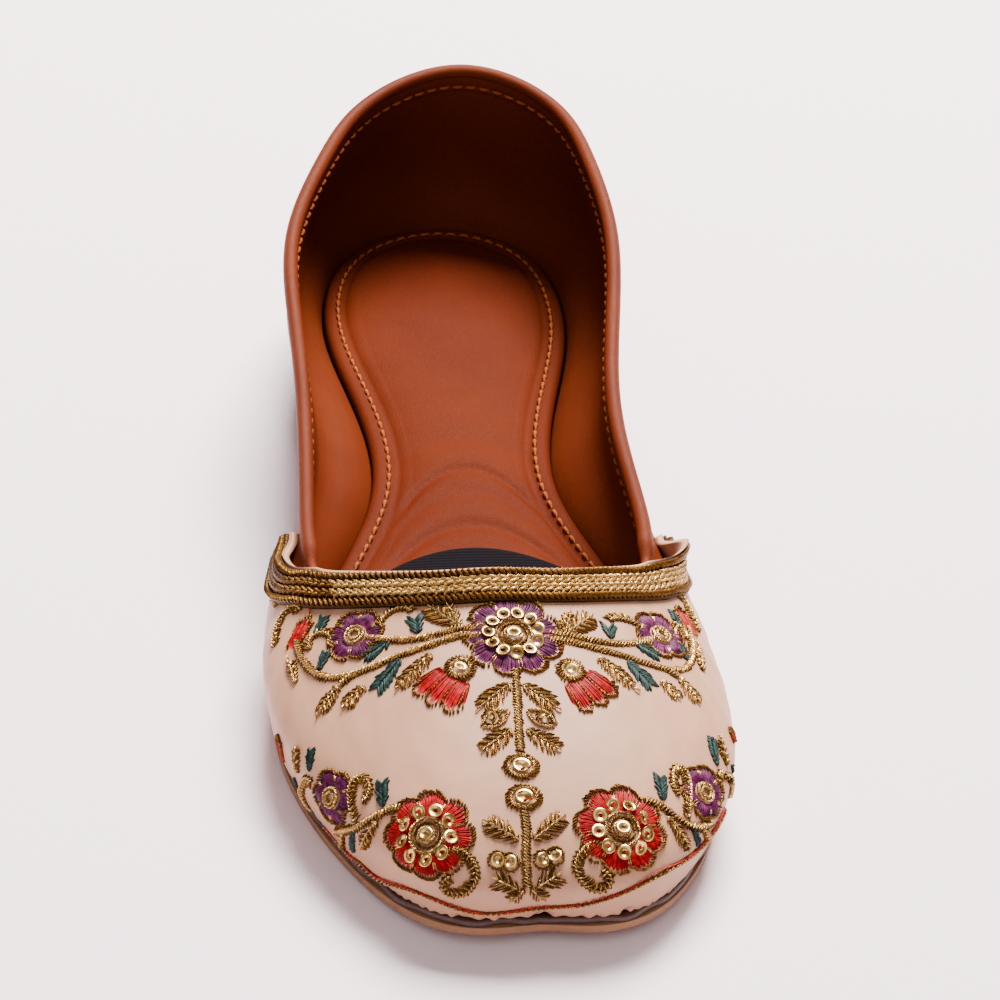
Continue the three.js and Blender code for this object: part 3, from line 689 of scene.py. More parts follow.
label_place[..., 2] = footbed_top(label_place[..., 1], np.abs(label_reach)) - 0.6 * crease_sink(
    label_place[..., 0], label_place[..., 1])
label_lift = np.array([0.0, 0.0, 1.0])
label_faces = [label_place + label_lift * lift for lift in (LABEL_THICKNESS, 0.0001)]
label_loops = np.concatenate([label_faces[0], label_faces[1][:, ::-1]], 1)
label_uv = label_loops[..., :2].reshape(-1, 2)


def sheet_faces(rows, columns):
    """Faces of a thin sheet whose rows loop over its two sides, with both end strips closed."""
    half = columns // 2
    strip = np.arange(half - 1)
    last = (rows - 1) * columns
    first_cap = np.stack([strip, strip + 1, columns - 2 - strip, columns - 1 - strip], -1)
    last_cap = first_cap[:, ::-1] + last
    return np.concatenate([grid_faces(rows, columns, False, True), first_cap, last_cap])


label = mesh_piece("bare_label", label_loops.reshape(-1, 3), sheet_faces(*label_loops.shape[:2]),
                   "sock_label", label_uv)
black_cloth, tree, shader = new_material("black_grosgrain", Roughness=0.9, Specular_IOR_Level=0.02)
place = node(tree, "ShaderNodeUVMap").outputs["UV"]
# Ribs of 0.45 mm across the ribbon, with a finer noise for its fibres
ribs = node(tree, "ShaderNodeTexWave", {"Vector": place, "Scale": 350.0, "Distortion": 0.3},
            bands_direction="Y")
fibres = node(tree, "ShaderNodeTexNoise", {"Vector": place, "Scale": 2500.0})
weave = node(tree, "ShaderNodeMath", {0: ribs.outputs["Fac"], 1: fibres.outputs["Fac"]}, operation="ADD")
cloth_colour = ramp(tree, weave.outputs["Value"], [(0.2, "#060507"), (1.0, "#151216")])
tree.links.new(cloth_colour, shader.inputs["Base Color"])
bump = node(tree, "ShaderNodeBump", {"Height": weave.outputs["Value"], "Strength": 0.5, "Distance": 0.0002})
tree.links.new(bump.outputs["Normal"], shader.inputs["Normal"])
label.data.materials.append(black_cloth)

# Vamp
# Cream satin pasted on its backing and lasted over the toe, with a turned edge at the throat. Each side
# ends in a wing that flares off the quarter at its corner. Lasting leaves small gathers along the sole
# and faint upright puckers on the flanks.
WING_START, WING_PEAK, WING_SEAT, WING_END, WING_DROP = 3.9, 4.95, 5.3, 5.4, 0.27
WING_FLARE_INNER, WING_FLARE_OUTER = 0.0056, 0.0016
WING_FALL_INNER, WING_RISE_OUTER = 0.10, 0.05
WING_FOLD = 0.62
VAMP_STEPS, VAMP_LINES = 380, 70
GATHER_PITCH, GATHER_DEPTH = 0.0034, 0.00030
# A tuck is a place where the satin was pulled in over the toe. Its gap is how much higher up the profile
# the satin's lower edge starts there.
TUCKS = (
    {"t": 0.02, "h": 0.080, "wide": 0.085, "tall": 0.050, "depth": 0.0012, "gap": 0.045},
    {"t": 0.88, "h": 0.060, "wide": 0.060, "tall": 0.035, "depth": 0.0011, "gap": 0.030},
    {"t": -0.80, "h": 0.045, "wide": 0.070, "tall": 0.030, "depth": 0.0010, "gap": 0.012},
)
PUCKER_DEPTH = 0.00012


def vamp_top(t):
    """Top edge of the vamp as a share of the profile: the wings drop below the collar's rim."""
    s = station(t)
    corner = np.where(np.mod(t, RING) <= HALF_RING, -WING_FALL_INNER, WING_RISE_OUTER)
    return 1 - WING_DROP * smoothstep(s, WING_START, WING_END) + corner * smoothstep(s, WING_PEAK, WING_END)


def wing_flare(t, h):
    """How far a wing stands off the quarter: none at the sole, most at its corner."""
    s = station(t)
    peak = smoothstep(s, WING_START, WING_PEAK) * (1 - smoothstep(s, WING_PEAK, WING_SEAT))
    flare = np.where(np.mod(t, RING) <= HALF_RING, WING_FLARE_INNER, WING_FLARE_OUTER)
    return peak * flare * np.clip((h / vamp_top(t) - WING_FOLD) / (1 - WING_FOLD), 0, 1) ** 1.3


def satin(t, h, lift=0.0):
    """A point on the satin and its normal: the last moved out by the vamp, the flare and a lift."""
    normal, _ = last_frame(t, h)
    out = CLEARANCE + VAMP_THICKNESS + wing_flare(t, h) + lift
    return last_point(t, h) + normal * np.asarray(out)[..., None], normal


vamp_places = np.linspace(-WING_END, WING_END, VAMP_STEPS)
vamp_lines = np.linspace(0, 1, VAMP_LINES)
vamp_t = np.repeat(vamp_places[:, None], VAMP_LINES, 1)
# Its lower edge was trimmed by hand, so it is uneven by a few tenths of a millimetre
foot_edge = 0.005 + 0.002 * np.sin(vamp_places * 5.3) + 0.003 * np.sin(vamp_places * 13.7 + 0.9)
for tuck in TUCKS:
    foot_edge = foot_edge + tuck["gap"] * np.exp(-(((vamp_places - tuck["t"]) / tuck["wide"]) ** 2))
vamp_h = foot_edge[:, None] + vamp_lines[None, :] * (vamp_top(vamp_places) - foot_edge)[:, None]
toe_round = np.exp(-((vamp_t / 2.6) ** 2))
around = ring["side_y"](vamp_t) * 1.4 + np.abs(ring["side_x"](vamp_t))
gather = GATHER_DEPTH * np.sin(around * 2 * math.pi / GATHER_PITCH) * np.exp(-((vamp_h / 0.07) ** 2))
gather = gather * (0.4 + 0.6 * toe_round) * (1 + 0.5 * np.sin(around * 2 * math.pi / (2.7 * GATHER_PITCH)))
for tuck in TUCKS:
    gather = gather - tuck["depth"] * np.exp(-(((vamp_t - tuck["t"]) / tuck["wide"]) ** 2)
                                             - ((vamp_h - tuck["h"]) / tuck["tall"]) ** 2)
flank = smoothstep(np.abs(vamp_t), 1.6, 3.0) * (1 - smoothstep(vamp_h, 0.55, 0.8))
pucker = np.sin(vamp_t * 9.0 + 1.2 * vamp_h) + 0.6 * np.sin(vamp_t * 21.0 + 0.7)
pucker = PUCKER_DEPTH * flank * pucker / 1.6
hem = 0.00035 * np.exp(-(((1 - vamp_lines[None, :]) * 70) ** 2) / 2)
vamp_outer, _ = satin(vamp_t, vamp_h, gather + pucker + hem)
seated = smoothstep(np.abs(vamp_t), WING_PEAK, WING_SEAT)
vamp_inner, _ = satin(vamp_t, vamp_h, -VAMP_THICKNESS - CLEARANCE * seated)
vamp_loops = np.concatenate([vamp_outer, vamp_inner[:, ::-1]], 1)
vamp_rise = vamp_h * profile_length(vamp_t, vamp_h + 0.06 * (vamp_h < 0.06))
vamp_run = np.cumsum(np.concatenate([[0], np.linalg.norm(np.diff(vamp_outer[:, 20], axis=0), axis=1)]))
vamp_uv = np.stack([np.repeat(vamp_run[:, None], 2 * VAMP_LINES, 1),
                    np.concatenate([vamp_rise, vamp_rise[:, ::-1]], 1)], -1)
vamp = mesh_piece("satin_vamp", vamp_loops.reshape(-1, 3), sheet_faces(VAMP_STEPS, 2 * VAMP_LINES),
                  "vamp", vamp_uv.reshape(-1, 2))
cream_satin, tree, shader = new_material("cream_satin", Specular_IOR_Level=0.28)
place = node(tree, "ShaderNodeUVMap").outputs["UV"]
# The threads of a satin are 0.1 mm apart; they are drawn 0.25 mm apart so that they show
warp = node(tree, "ShaderNodeTexWave", {"Vector": place, "Scale": 630.0, "Distortion": 1.5, "Detail": 2.0},
            bands_direction="X")
cloud = node(tree, "ShaderNodeTexNoise", {"Vector": place, "Scale": 90.0, "Detail": 4.0})
satin_colour = ramp(tree, cloud.outputs["Fac"], [(0.3, "#ab7f64"), (0.7, "#b6896d")])
tree.links.new(satin_colour, shader.inputs["Base Color"])
bump = node(tree, "ShaderNodeBump", {"Height": warp.outputs["Fac"], "Strength": 0.12, "Distance": 0.0001})
tree.links.new(bump.outputs["Normal"], shader.inputs["Normal"])
rough = node(tree, "ShaderNodeMapRange", {"Value": cloud.outputs["Fac"], "To Min": 0.40, "To Max": 0.52})
tree.links.new(rough.outputs["Result"], shader.inputs["Roughness"])
vamp.data.materials.append(cream_satin)

# Throat braid
# Gold zari braid sewn over the vamp's top edge, 7.8 mm wide: a webbing carries four rows. The outer and
# inner rows are browner cords wrapped in fine thread, and the two between are bright herringbone plaits.
BRAID_EDGE, BRAID_WIDTH = 0.0008, 0.0078
BRAID_CLEARANCE, BRAID_WEB = 0.00045, 0.0004
WEB_LENGTH, WEB_STEPS = 0.17, 420
BRAID_ROWS = (
    {"from": 0.10, "to": 1.90, "kind": "cord"},
    {"from": 2.15, "to": 3.85, "kind": "plait"},
    {"from": 4.15, "to": 5.90, "kind": "plait"},
    {"from": 6.25, "to": 7.70, "kind": "cord"},
)
CORD_PITCH, CORD_SLANT, CORD_WIDTH, CORD_RISE = 0.00115, 0.0019, 0.00070, 0.00075
PLAIT_PITCH, PLAIT_SLANT, PLAIT_WIDTH, PLAIT_RISE = 0.00180, 0.0029, 0.00090, 0.00065


def braid_line(down, lift, count=1600):
    """A line along the vamp's top edge, a distance down from it, with the surface's normals."""
    t = np.linspace(-WING_END, WING_END, count)
    h = vamp_top(t) - down / profile_length(t, vamp_top(t))
    return satin(t, h, lift)


web_down = BRAID_EDGE + BRAID_WIDTH * np.linspace(1, 0, 14)
web_faces = [np.stack([braid_line(down, lift, WEB_STEPS)[0] for down in web_down], 1)
             for lift in (BRAID_CLEARANCE + BRAID_WEB, BRAID_CLEARANCE - 0.0003)]
web_loops = np.concatenate([web_faces[0], web_faces[1][:, ::-1]], 1)
web_run = np.linspace(0, WEB_LENGTH, WEB_STEPS)
web_across = np.concatenate([web_down, web_down[::-1]])
web_uv = np.stack(np.broadcast_arrays(web_run[:, None], web_across[None, :]), -1).reshape(-1, 2)
web = mesh_piece("braid_webbing", web_loops.reshape(-1, 3), sheet_faces(*web_loops.shape[:2]),
                 "throat_braid", web_uv)


def zari_material(name, dark, bright, roughness):
    """Zari: a gilt metal strip wound on thread, in rings of 0.2 mm along each stitch that catch the light.
    Its colour holds painted shade between the rings and in dark spots, and painted glints on the rings.
    """
    material, tree, shader = new_material(name, Metallic=0.85)
    place = node(tree, "ShaderNodeUVMap").outputs["UV"]
    wound = node(tree, "ShaderNodeTexWave", {"Vector": place, "Scale": 780.0, "Distortion": 1.0},
                 bands_direction="DIAGONAL")
    spot = node(tree, "ShaderNodeTexCoord").outputs["Object"]
    darkened = node(tree, "ShaderNodeTexNoise", {"Vector": spot, "Scale": 1400.0, "Detail": 2.0})
    mix = node(tree, "ShaderNodeMath", {0: wound.outputs["Fac"], 1: darkened.outputs["Fac"]},
               operation="MULTIPLY")
    # The ramp paints shade, dark between the rings and in the dark spots, and a bright painted glint on the
    # rings
    gilt = ramp(tree, mix.outputs["Value"], [(0.05, dark), (0.5, bright)])
    tree.links.new(gilt, shader.inputs["Base Color"])
    bump = node(tree, "ShaderNodeBump", {"Height": wound.outputs["Fac"], "Strength": 0.4,
                                         "Distance": 0.00008})
    tree.links.new(bump.outputs["Normal"], shader.inputs["Normal"])
    rough = node(tree, "ShaderNodeMapRange", {"Value": darkened.outputs["Fac"], "To Min": roughness - 0.1,
                                              "To Max": roughness + 0.1})
    tree.links.new(rough.outputs["Result"], shader.inputs["Roughness"])
    return material


zari_dull = zari_material("antique_gold_zari", dark="#221003", bright="#90601f", roughness=0.38)
zari_bright = zari_material("bright_gold_zari", dark="#6e4a1e", bright="#f2c87c", roughness=0.28)
# The webbing's dark brown shows in the gaps between the rows: partly its own colour, partly painted shade in
# those gaps
web.data.materials.append(zari_material("brown_gold_webbing", dark="#2a1808", bright="#54390f",
                                        roughness=0.6))


def slanted_row(first, second, normals, pitch, slant, width, rise):
    """Stitches that start on one line and end a slant further along a second line beside it."""
    begin, _ = along_line(first, pitch)
    run = np.linalg.norm(np.diff(first, axis=0), axis=1).mean()
    finish = np.clip(begin + slant / run, 0, len(first) - 1)
    normal = unit(sample(normals, (begin + finish) / 2))
    return sample(first, begin), sample(second, finish), normal, width, rise


# Towards the wing on the -X side the bright rows are laid in the same darker zari as the cords
DULL_FROM_X = -0.0335
dull_rows, bright_rows = [], []
for row in BRAID_ROWS:
    low, high = BRAID_EDGE + row["from"] / 1000, BRAID_EDGE + row["to"] / 1000
    middle = (low + high) / 2
    lift = BRAID_CLEARANCE + BRAID_WEB
    if row["kind"] == "cord":
        lines = [braid_line(down, lift) for down in (low, high)]
        dull_rows.append(slanted_row(lines[0][0], lines[1][0], lines[0][1], CORD_PITCH, CORD_SLANT,
                                     CORD_WIDTH, CORD_RISE))
    else:
        edge_low, spine, edge_high = [braid_line(down, lift + up) for down, up in
                                      ((low, 0.0), (middle, 0.00012), (high, 0.0))]
        for edge in (edge_low, edge_high):
            plait = slanted_row(edge[0], spine[0], spine[1], PLAIT_PITCH, PLAIT_SLANT, PLAIT_WIDTH,
                                PLAIT_RISE)
            darkened = plait[0][:, 0] < DULL_FROM_X
            for rows, chosen in ((dull_rows, darkened), (bright_rows, ~darkened)):
                rows.append(tuple(part[chosen] if np.ndim(part) else part for part in plait))
thread_piece("braid_cords", dull_rows, "throat_braid", zari_dull)
thread_piece("braid_plaits", bright_rows, "throat_braid", zari_bright)

# Embroidery ground
# The vamp was embroidered in a frame before it was lasted, from a paper chart pricked on the satin, and
# the same chart was turned over for the other half. Its places are read off the photograph in the
# photograph's own pixels, looked up on the satin from the photograph's viewpoint, and mirrored.
VIEWPOINT = np.array([-0.0701, -0.6264, 0.4602])
VIEW_FORWARD = np.array([0.0195, 0.8139, -0.5807])
VIEW_RIGHT = np.array([0.9997, -0.0239, 0.0])
PHOTO_FOCAL = 3050
PHOTO_CENTRE = 500
ahead = unit(VIEW_FORWARD)
rightward = unit(VIEW_RIGHT - ahead * np.dot(VIEW_RIGHT, ahead))
upward = np.cross(rightward, ahead)
rng = np.random.default_rng(11)
MM = 0.001


def photo_pixels(points):
    """Perspective picture of points: sideways and upward offsets over the distance ahead."""
    away = points - VIEWPOINT
    depth = away @ ahead
    offsets = np.stack([away @ rightward, -(away @ upward)], -1)
    return PHOTO_CENTRE + PHOTO_FOCAL * offsets / depth[..., None]


net_t, net_h = np.meshgrid(np.linspace(-5.2, 5.2, 521), np.linspace(0.02, 0.995, 161), indexing="ij")
net_h = net_h * vamp_top(net_t)
net, net_normal = satin(net_t, net_h)
facing = ((VIEWPOINT - net) * net_normal).sum(-1, keepdims=True) > 0
net_pixels = np.where(facing, photo_pixels(net), 1e6).reshape(-1, 2)


def chart(pixels):
    """Places (t, h) on the satin seen at these pixels: the nearest net point, then three Newton steps."""
    pixels = np.array(pixels, float).reshape(-1, 2)
    near = [int(np.argmin(((net_pixels - pixel) ** 2).sum(1))) for pixel in pixels]
    place = np.stack([net_t.ravel()[near], net_h.ravel()[near]], -1)
    step = 1e-3
    for _ in range(3):
        here = photo_pixels(satin(place[:, 0], place[:, 1])[0])
        by_t = (photo_pixels(satin(place[:, 0] + step, place[:, 1])[0]) - here) / step
        by_h = (photo_pixels(satin(place[:, 0], place[:, 1] - step)[0]) - here) / -step
        matrix = np.stack([by_t, by_h], -1) + np.eye(2) * 1e-6
        move = np.linalg.solve(matrix, (pixels - here)[..., None])[..., 0]
        place = place + np.clip(move, -0.05, 0.05)
    return place * [1, 0] + np.clip(place, 0.01, 0.995) * [0, 1]


def tangents(place):
    """Point, normal and the two tangents of the satin at one place: along the ring and up the profile."""
    t, h = place
    point, normal = satin(np.array([t]), np.array([h]))
    beside, _ = satin(np.array([t + 1e-3]), np.array([h]))
    x_axis = unit(beside - point - normal * ((beside - point) * normal).sum())
    return point[0], normal[0], x_axis[0], np.cross(normal[0], x_axis[0])


def laid(place, xy, lift):
    """Points and normals on the satin at xy metres from a place: nearest points by Gauss-Newton steps."""
    origin, _, x_axis, y_axis = tangents(place)
    target = origin + xy[:, :1] * x_axis + xy[:, 1:] * y_axis
    t, h = np.full(len(xy), place[0]), np.full(len(xy), place[1])
    step = 1e-3
    for _ in range(4):
        here, _ = satin(t, h)
        by_t = (satin(t + step, h)[0] - here) / step
        by_h = (satin(t, h - step)[0] - here) / -step
        tt, th, hh = (by_t * by_t).sum(-1), (by_t * by_h).sum(-1), (by_h * by_h).sum(-1)
        left = target - here
        lt, lh = (left * by_t).sum(-1), (left * by_h).sum(-1)
        det = tt * hh - th * th
        t = t + (hh * lt - th * lh) / det
        h = np.clip(h + (tt * lh - th * lt) / det, 0.005, 0.998)
    point, normal = satin(t, h)
    return point + normal * lift, normal


stitched = {"dull": [], "bright": [], "red": [], "purple": [], "green": [], "scarlet": []}


def stitch(thread, place, start, end, width, rise, lift=0.0, jitter=0.10):
    """Lays stitches from xy starts to xy ends, in millimetres from a place, each a little out of true."""
    count = len(start)
    start = (np.asarray(start) + rng.normal(0, jitter, (count, 2)) * 0.5) * MM
    end = (np.asarray(end) + rng.normal(0, jitter, (count, 2))) * MM
    points, normals = laid(place, np.concatenate([start, end]), 0.0)
    normal = unit(normals[:count] + normals[count:])
    high = normal * lift * MM
    widths = width * MM * rng.uniform(0.85, 1.15, count)
    stitched[thread].append((points[:count] + high, points[count:] + high, normal, widths, rise * MM))


def line_on_satin(places, count=260):
    """A smooth line through charted places, with the satin's normals and the side to its left."""
    span = np.linspace(0, len(places) - 1 - 1e-6, count)
    t, h = open_curve(places[:, 0])(span), open_curve(places[:, 1])(span)
    points, normals = satin(t, np.clip(h, 0.01, 0.998))
    side = unit(np.cross(normals, np.gradient(points, axis=0)))
    return points, normals, side


def rope(thread, places, width, pitch, slant, stitch_width, rise, lift=0.0):
    """Slanted stitches side by side across a line, as in a stem stitch worked thick."""
    points, normals, side = line_on_satin(places)
    begin, _ = along_line(points, pitch * MM)
    run = np.linalg.norm(np.diff(points, axis=0), axis=1).mean()
    finish = np.clip(begin + slant * MM / run, 0, len(points) - 1)
    count = len(begin)
    normal = unit(sample(normals, begin))
    wide = width * MM / 2 * rng.uniform(0.8, 1.2, (count, 1))
    high = normal * lift * MM
    stitched[thread].append((
        sample(points, begin) - sample(side, begin) * wide + high,
        sample(points, finish) + sample(side, finish) * wide + high,
        normal, stitch_width * MM * rng.uniform(0.85, 1.15, count), rise * MM,
    ))


def fringe(thread, places, hand, length, pitch, forward, stitch_width, rise):
    """Spiky stitches that leave a line to one side, leaning forward along it."""
    points, normals, side = line_on_satin(places)
    begin, _ = along_line(points, pitch * MM)
    run = np.linalg.norm(np.diff(points, axis=0), axis=1).mean()
    count = len(begin)
    finish = np.clip(begin + forward * MM / run, 0, len(points) - 1)
    reach = length * MM * rng.uniform(0.75, 1.15, (count, 1)) * hand
    stitched[thread].append((
        sample(points, begin), sample(points, finish) + sample(side, finish) * reach,
        unit(sample(normals, begin)), stitch_width * MM * np.ones(count), rise * MM,
    ))


# Vines
# Two vines leave the middle flower on each side, and short ones join the flowers of the toe. They are
# thick stem stitch in gold zari over a browner row that shows as a dark edge.
STEM = ((755, 629), (756, 642), (757, 661), (758, 680), (759, 698), (760, 722), (762, 747), (764, 760),
        (764, 774), (764, 794), (765, 812))
STEM_TOP = (754, 599)
stem_places = chart(STEM)
axis_places = np.concatenate([stem_places[::-1], chart(STEM_TOP)])


PULL_OUT, PULL_LEVEL, PULL_HEIGHT = 0.08, 0.104, 0.65


def turned_over(places):
    """The chart turned over about the stem. Lasting drew this half outwards and towards one height."""
    t, h = places[..., 0], places[..., 1]
    axis = np.interp(h, axis_places[:, 1], axis_places[:, 0])
    away = np.abs(axis - t)
    reach = away + PULL_OUT * np.maximum(away - 1, 0) * smoothstep(h, 0.3, 0.5)
    return np.stack([axis + np.sign(axis - t) * reach, h + PULL_LEVEL * away * (PULL_HEIGHT - h)], -1)


VINES = (
    ((724, 594), (714, 594), (704, 595), (694, 598), (683, 601), (664, 604), (651, 604), (640, 603),
     (630, 602)),
    ((726, 601), (716, 600), (707, 601), (697, 604), (685, 608), (666, 614), (651, 620), (634, 627),
     (621, 632), (606, 635), (596, 635), (587, 631), (579, 623), (574, 613), (573, 604)),
    ((660, 743), (651, 745), (644, 748), (634, 753), (624, 759), (614, 762), (605, 763)),
    ((621, 632), (615, 636), (609, 641)),
)
for line in VINES:
    charted = chart(line)
    for places in (charted, turned_over(charted)):
        rope("dull", places, width=2.1, pitch=0.60, slant=0.7, stitch_width=0.6, rise=0.36)
        rope("bright", places, width=1.2, pitch=0.70, slant=0.9, stitch_width=0.42, rise=0.42, lift=0.30)
for part in (stem_places[:5], stem_places[6:]):
    rope("dull", part, width=2.0, pitch=0.6, slant=0.8, stitch_width=0.6, rise=0.4)
    rope("bright", part, width=1.2, pitch=0.62, slant=1.0, stitch_width=0.45, rise=0.45, lift=0.3)

# Curls
# C-shaped tendrils worked in gold zari like the vines but thinner: a line with a spiky fringe along its
# outer side, and a shorter one inside.
CURLS = (
    {"line": ((642, 592), (646, 585), (655, 579), (664, 578), (668, 581)), "out": -1},
    {"line": ((583, 612), (584, 604), (590, 599), (597, 599), (601, 603), (599, 609)), "out": -1},
    {"line": ((621, 755), (618, 746), (616, 734), (619, 722), (627, 717), (633, 722), (633, 733),
              (627, 739)), "out": 1},
    {"line": ((583, 746), (578, 736), (577, 725), (581, 718), (586, 722)), "out": 1},
    {"line": ((696, 781), (706, 778), (717, 785), (723, 797), (719, 810), (708, 817), (697, 815),
              (694, 806), (701, 801)), "out": 1},
    {"line": ((553, 610), (555, 596), (561, 583), (570, 576), (576, 579)), "out": 1},
)
for curl in CURLS:
    charted = chart(curl["line"])
    for places, hand in ((charted, -curl["out"]), (turned_over(charted), curl["out"])):
        rope("dull", places, width=1.0, pitch=0.55, slant=0.7, stitch_width=0.5, rise=0.38)
        rope("bright", places, width=0.6, pitch=0.7, slant=0.8, stitch_width=0.36, rise=0.4, lift=0.25)
        fringe("dull", places, hand, length=1.7, pitch=0.62, forward=0.7, stitch_width=0.42, rise=0.32)
        fringe("bright", places, hand, length=1.2, pitch=1.2, forward=0.7, stitch_width=0.36, rise=0.42)
        fringe("dull", places, -hand, length=0.8, pitch=0.9, forward=0.6, stitch_width=0.4, rise=0.3)

# Leaves
# Gold leaves are fern stitch, spiky on both sides of a vein. Green leaves are silk satin stitch laid
# close from the vein outwards, with ragged tips. Each runs from its stalk to its tip.
GOLD_LEAVES = (
    {"from": (706, 592), "to": (681, 576), "wide": 2.4},
    {"from": (685, 616), "to": (655, 646), "wide": 1.8},
    {"from": (608, 642), "to": (591, 666), "wide": 1.7},
    {"from": (629, 642), "to": (613, 659), "wide": 1.8},
    {"from": (640, 755), "to": (628, 788), "wide": 1.5},
    {"from": (574, 714), "to": (574, 691), "wide": 1.3},
    {"from": (709, 593), "to": (697, 574), "wide": 1.4},
    {"from": (572, 640), "to": (566, 620), "wide": 1.2},
    {"from": (556, 575), "to": (553, 560), "wide": 1.3},
    {"from": (612, 764), "to": (612, 778), "wide": 0.9},
)
STEM_LEAVES = (
    {"from": (751, 641), "to": (725, 661), "wide": 2.1},
    {"from": (752, 679), "to": (726, 698), "wide": 2.1},
    {"from": (758, 772), "to": (729, 755), "wide": 2.0},
    {"from": (757, 812), "to": (738, 803), "wide": 2.2},
    {"from": (762, 812), "to": (751, 822), "wide": 1.6},
)
GREEN_LEAVES = (
    {"from": (659, 620), "to": (636, 649), "wide": 1.9},
    {"from": (650, 605), "to": (627, 620), "wide": 1.6},
    {"from": (673, 599), "to": (671, 585), "wide": 1.9},
    {"from": (588, 601), "to": (596, 583), "wide": 1.3},
    {"from": (591, 629), "to": (598, 611), "wide": 1.2},
    {"from": (644, 743), "to": (643, 720), "wide": 1.5},
    {"from": (620, 762), "to": (620, 783), "wide": 0.9},
    {"from": (583, 713), "to": (586, 692), "wide": 1.2},
    {"from": (571, 718), "to": (573, 728), "wide": 0.9},
    {"from": (589, 752), "to": (594, 761), "wide": 0.8},
)


def leaf_axes(base, tip):
    """Direction and length in millimetres of a leaf, in the tangents at its base."""
    origin, _, x_axis, y_axis = tangents(base)
    end = satin(tip[:1], tip[1:])[0][0] - origin
    reach = np.array([end @ x_axis, end @ y_axis]) / MM
    length = np.linalg.norm(reach)
    return reach / length, length


def turned(direction, u, v):
    """Points u along a direction and v to its left."""
    return np.stack([u * direction[0] - v * direction[1], u * direction[1] + v * direction[0]], -1)


def fern_leaf(base, tip, wide):
    """Gold leaf: pairs of spikes from the vein, widest at a third of its length, and a row on the vein."""
    direction, length = leaf_axes(base, tip)
    u = np.arange(0, length * 0.86, 0.74)
    swell = wide * 1.15 * np.sin(math.pi * np.clip(0.16 + 0.80 * u / length, 0, 1)) ** 0.8
    for hand in (-1, 1):
        stitch("dull", base, turned(direction, u, 0 * u), turned(direction, u + 0.95 * swell, hand * swell),
               width=0.40, rise=0.40, lift=0.0, jitter=0.16)
        half_u, half_swell = u[::2] + 0.3, swell[::2]
        stitch("bright", base, turned(direction, half_u, 0 * u[::2]),
               turned(direction, half_u + 0.7 * half_swell, hand * 0.72 * half_swell),
               width=0.28, rise=0.36, lift=0.22, jitter=0.12)
    vein = np.arange(0, length, 1.3)
    stitch("bright", base, turned(direction, vein, 0 * vein - 0.1),
           turned(direction, vein + 1.5, 0 * vein + 0.1), width=0.42, rise=0.42, lift=0.3, jitter=0.05)


def satin_leaf(base, tip, wide):
    """Green leaf: close stitches from the vein to a ragged edge, leaning far forward."""
    direction, length = leaf_axes(base, tip)
    u = np.arange(0, length * 0.80, 0.40)
    swell = wide * np.sin(math.pi * np.clip(0.14 + 0.78 * u / length, 0, 1)) ** 0.7
    for hand in (-1, 1):
        reach = swell * rng.uniform(0.8, 1.2, len(u))
        stitch("green", base, turned(direction, u, -0.1 * hand + 0 * u),
               turned(direction, u + 1.25 * swell, hand * reach),
               width=0.62, rise=0.34, lift=0.0, jitter=0.12)


for leaves, maker in ((GOLD_LEAVES + STEM_LEAVES, fern_leaf), (GREEN_LEAVES, satin_leaf)):
    for leaf in leaves:
        ends = chart((leaf["from"], leaf["to"]))
        for base, tip in (ends, turned_over(ends)):
            maker(base, tip, leaf["wide"])

# Sequins
# Punched from gold-coloured film: round, slightly cupped, with a hole through which they are sewn down,
# so that each leans its own way. The meshes are made with the threads, once all are placed.
SEQUIN_SIDES, SECTION_POINTS = 18, 6
sequin_rims = []


def sequin(place, xy, radius, lift, squash=1.0, hole=0.30, lean=0.26):
    """One cupped ring: the six points of its section turned about its axis, which leans at random."""
    point, normal = laid(place, np.array([xy]) * MM, lift * MM)
    axis = unit(normal[0] + rng.normal(0, lean, 3))
    x_axis = unit(np.cross(axis, [0.3, 1.0, 0.2]))
    y_axis = np.cross(axis, x_axis) * squash
    angle = np.linspace(0, 2 * math.pi, SEQUIN_SIDES, endpoint=False)[:, None]
    section = np.array([(hole, 0.0), (0.72, 0.02), (1.0, 0.16), (1.0, 0.24), (0.72, 0.12), (hole, 0.10)])
    out, up = section[None, :, 0] * radius * MM, section[None, :, 1] * radius * MM
    outwards = (np.cos(angle) * out)[..., None] * x_axis + (np.sin(angle) * out)[..., None] * y_axis
    ring_points = point[0] + outwards + up[..., None] * axis
    sequin_rims.append(ring_points.reshape(-1, 3))


# Flowers
# Petals are silk satin stitch, laid radially and split here and there by a paler slit, inside a rope of
# gold. The big ones carry a ring of sequins round a coiled middle with one more sequin on it.
FLOWERS = (
    {"at": (753, 600), "radius": 9.6, "petals": 9, "silk": "purple", "sequins": 11, "eye": 0.5, "lone": True},
    {"at": (681, 767), "radius": 8.9, "petals": 8, "silk": "red", "sequins": 9, "eye": 0.53, "lone": False},
    {"at": (621, 600), "radius": 5.8, "petals": 6, "silk": "purple", "sequins": 0, "eye": 0.0, "lone": False},
    {"at": (601, 735), "radius": 5.6, "petals": 6, "silk": "purple", "sequins": 0, "eye": 0.0, "lone": False},
)


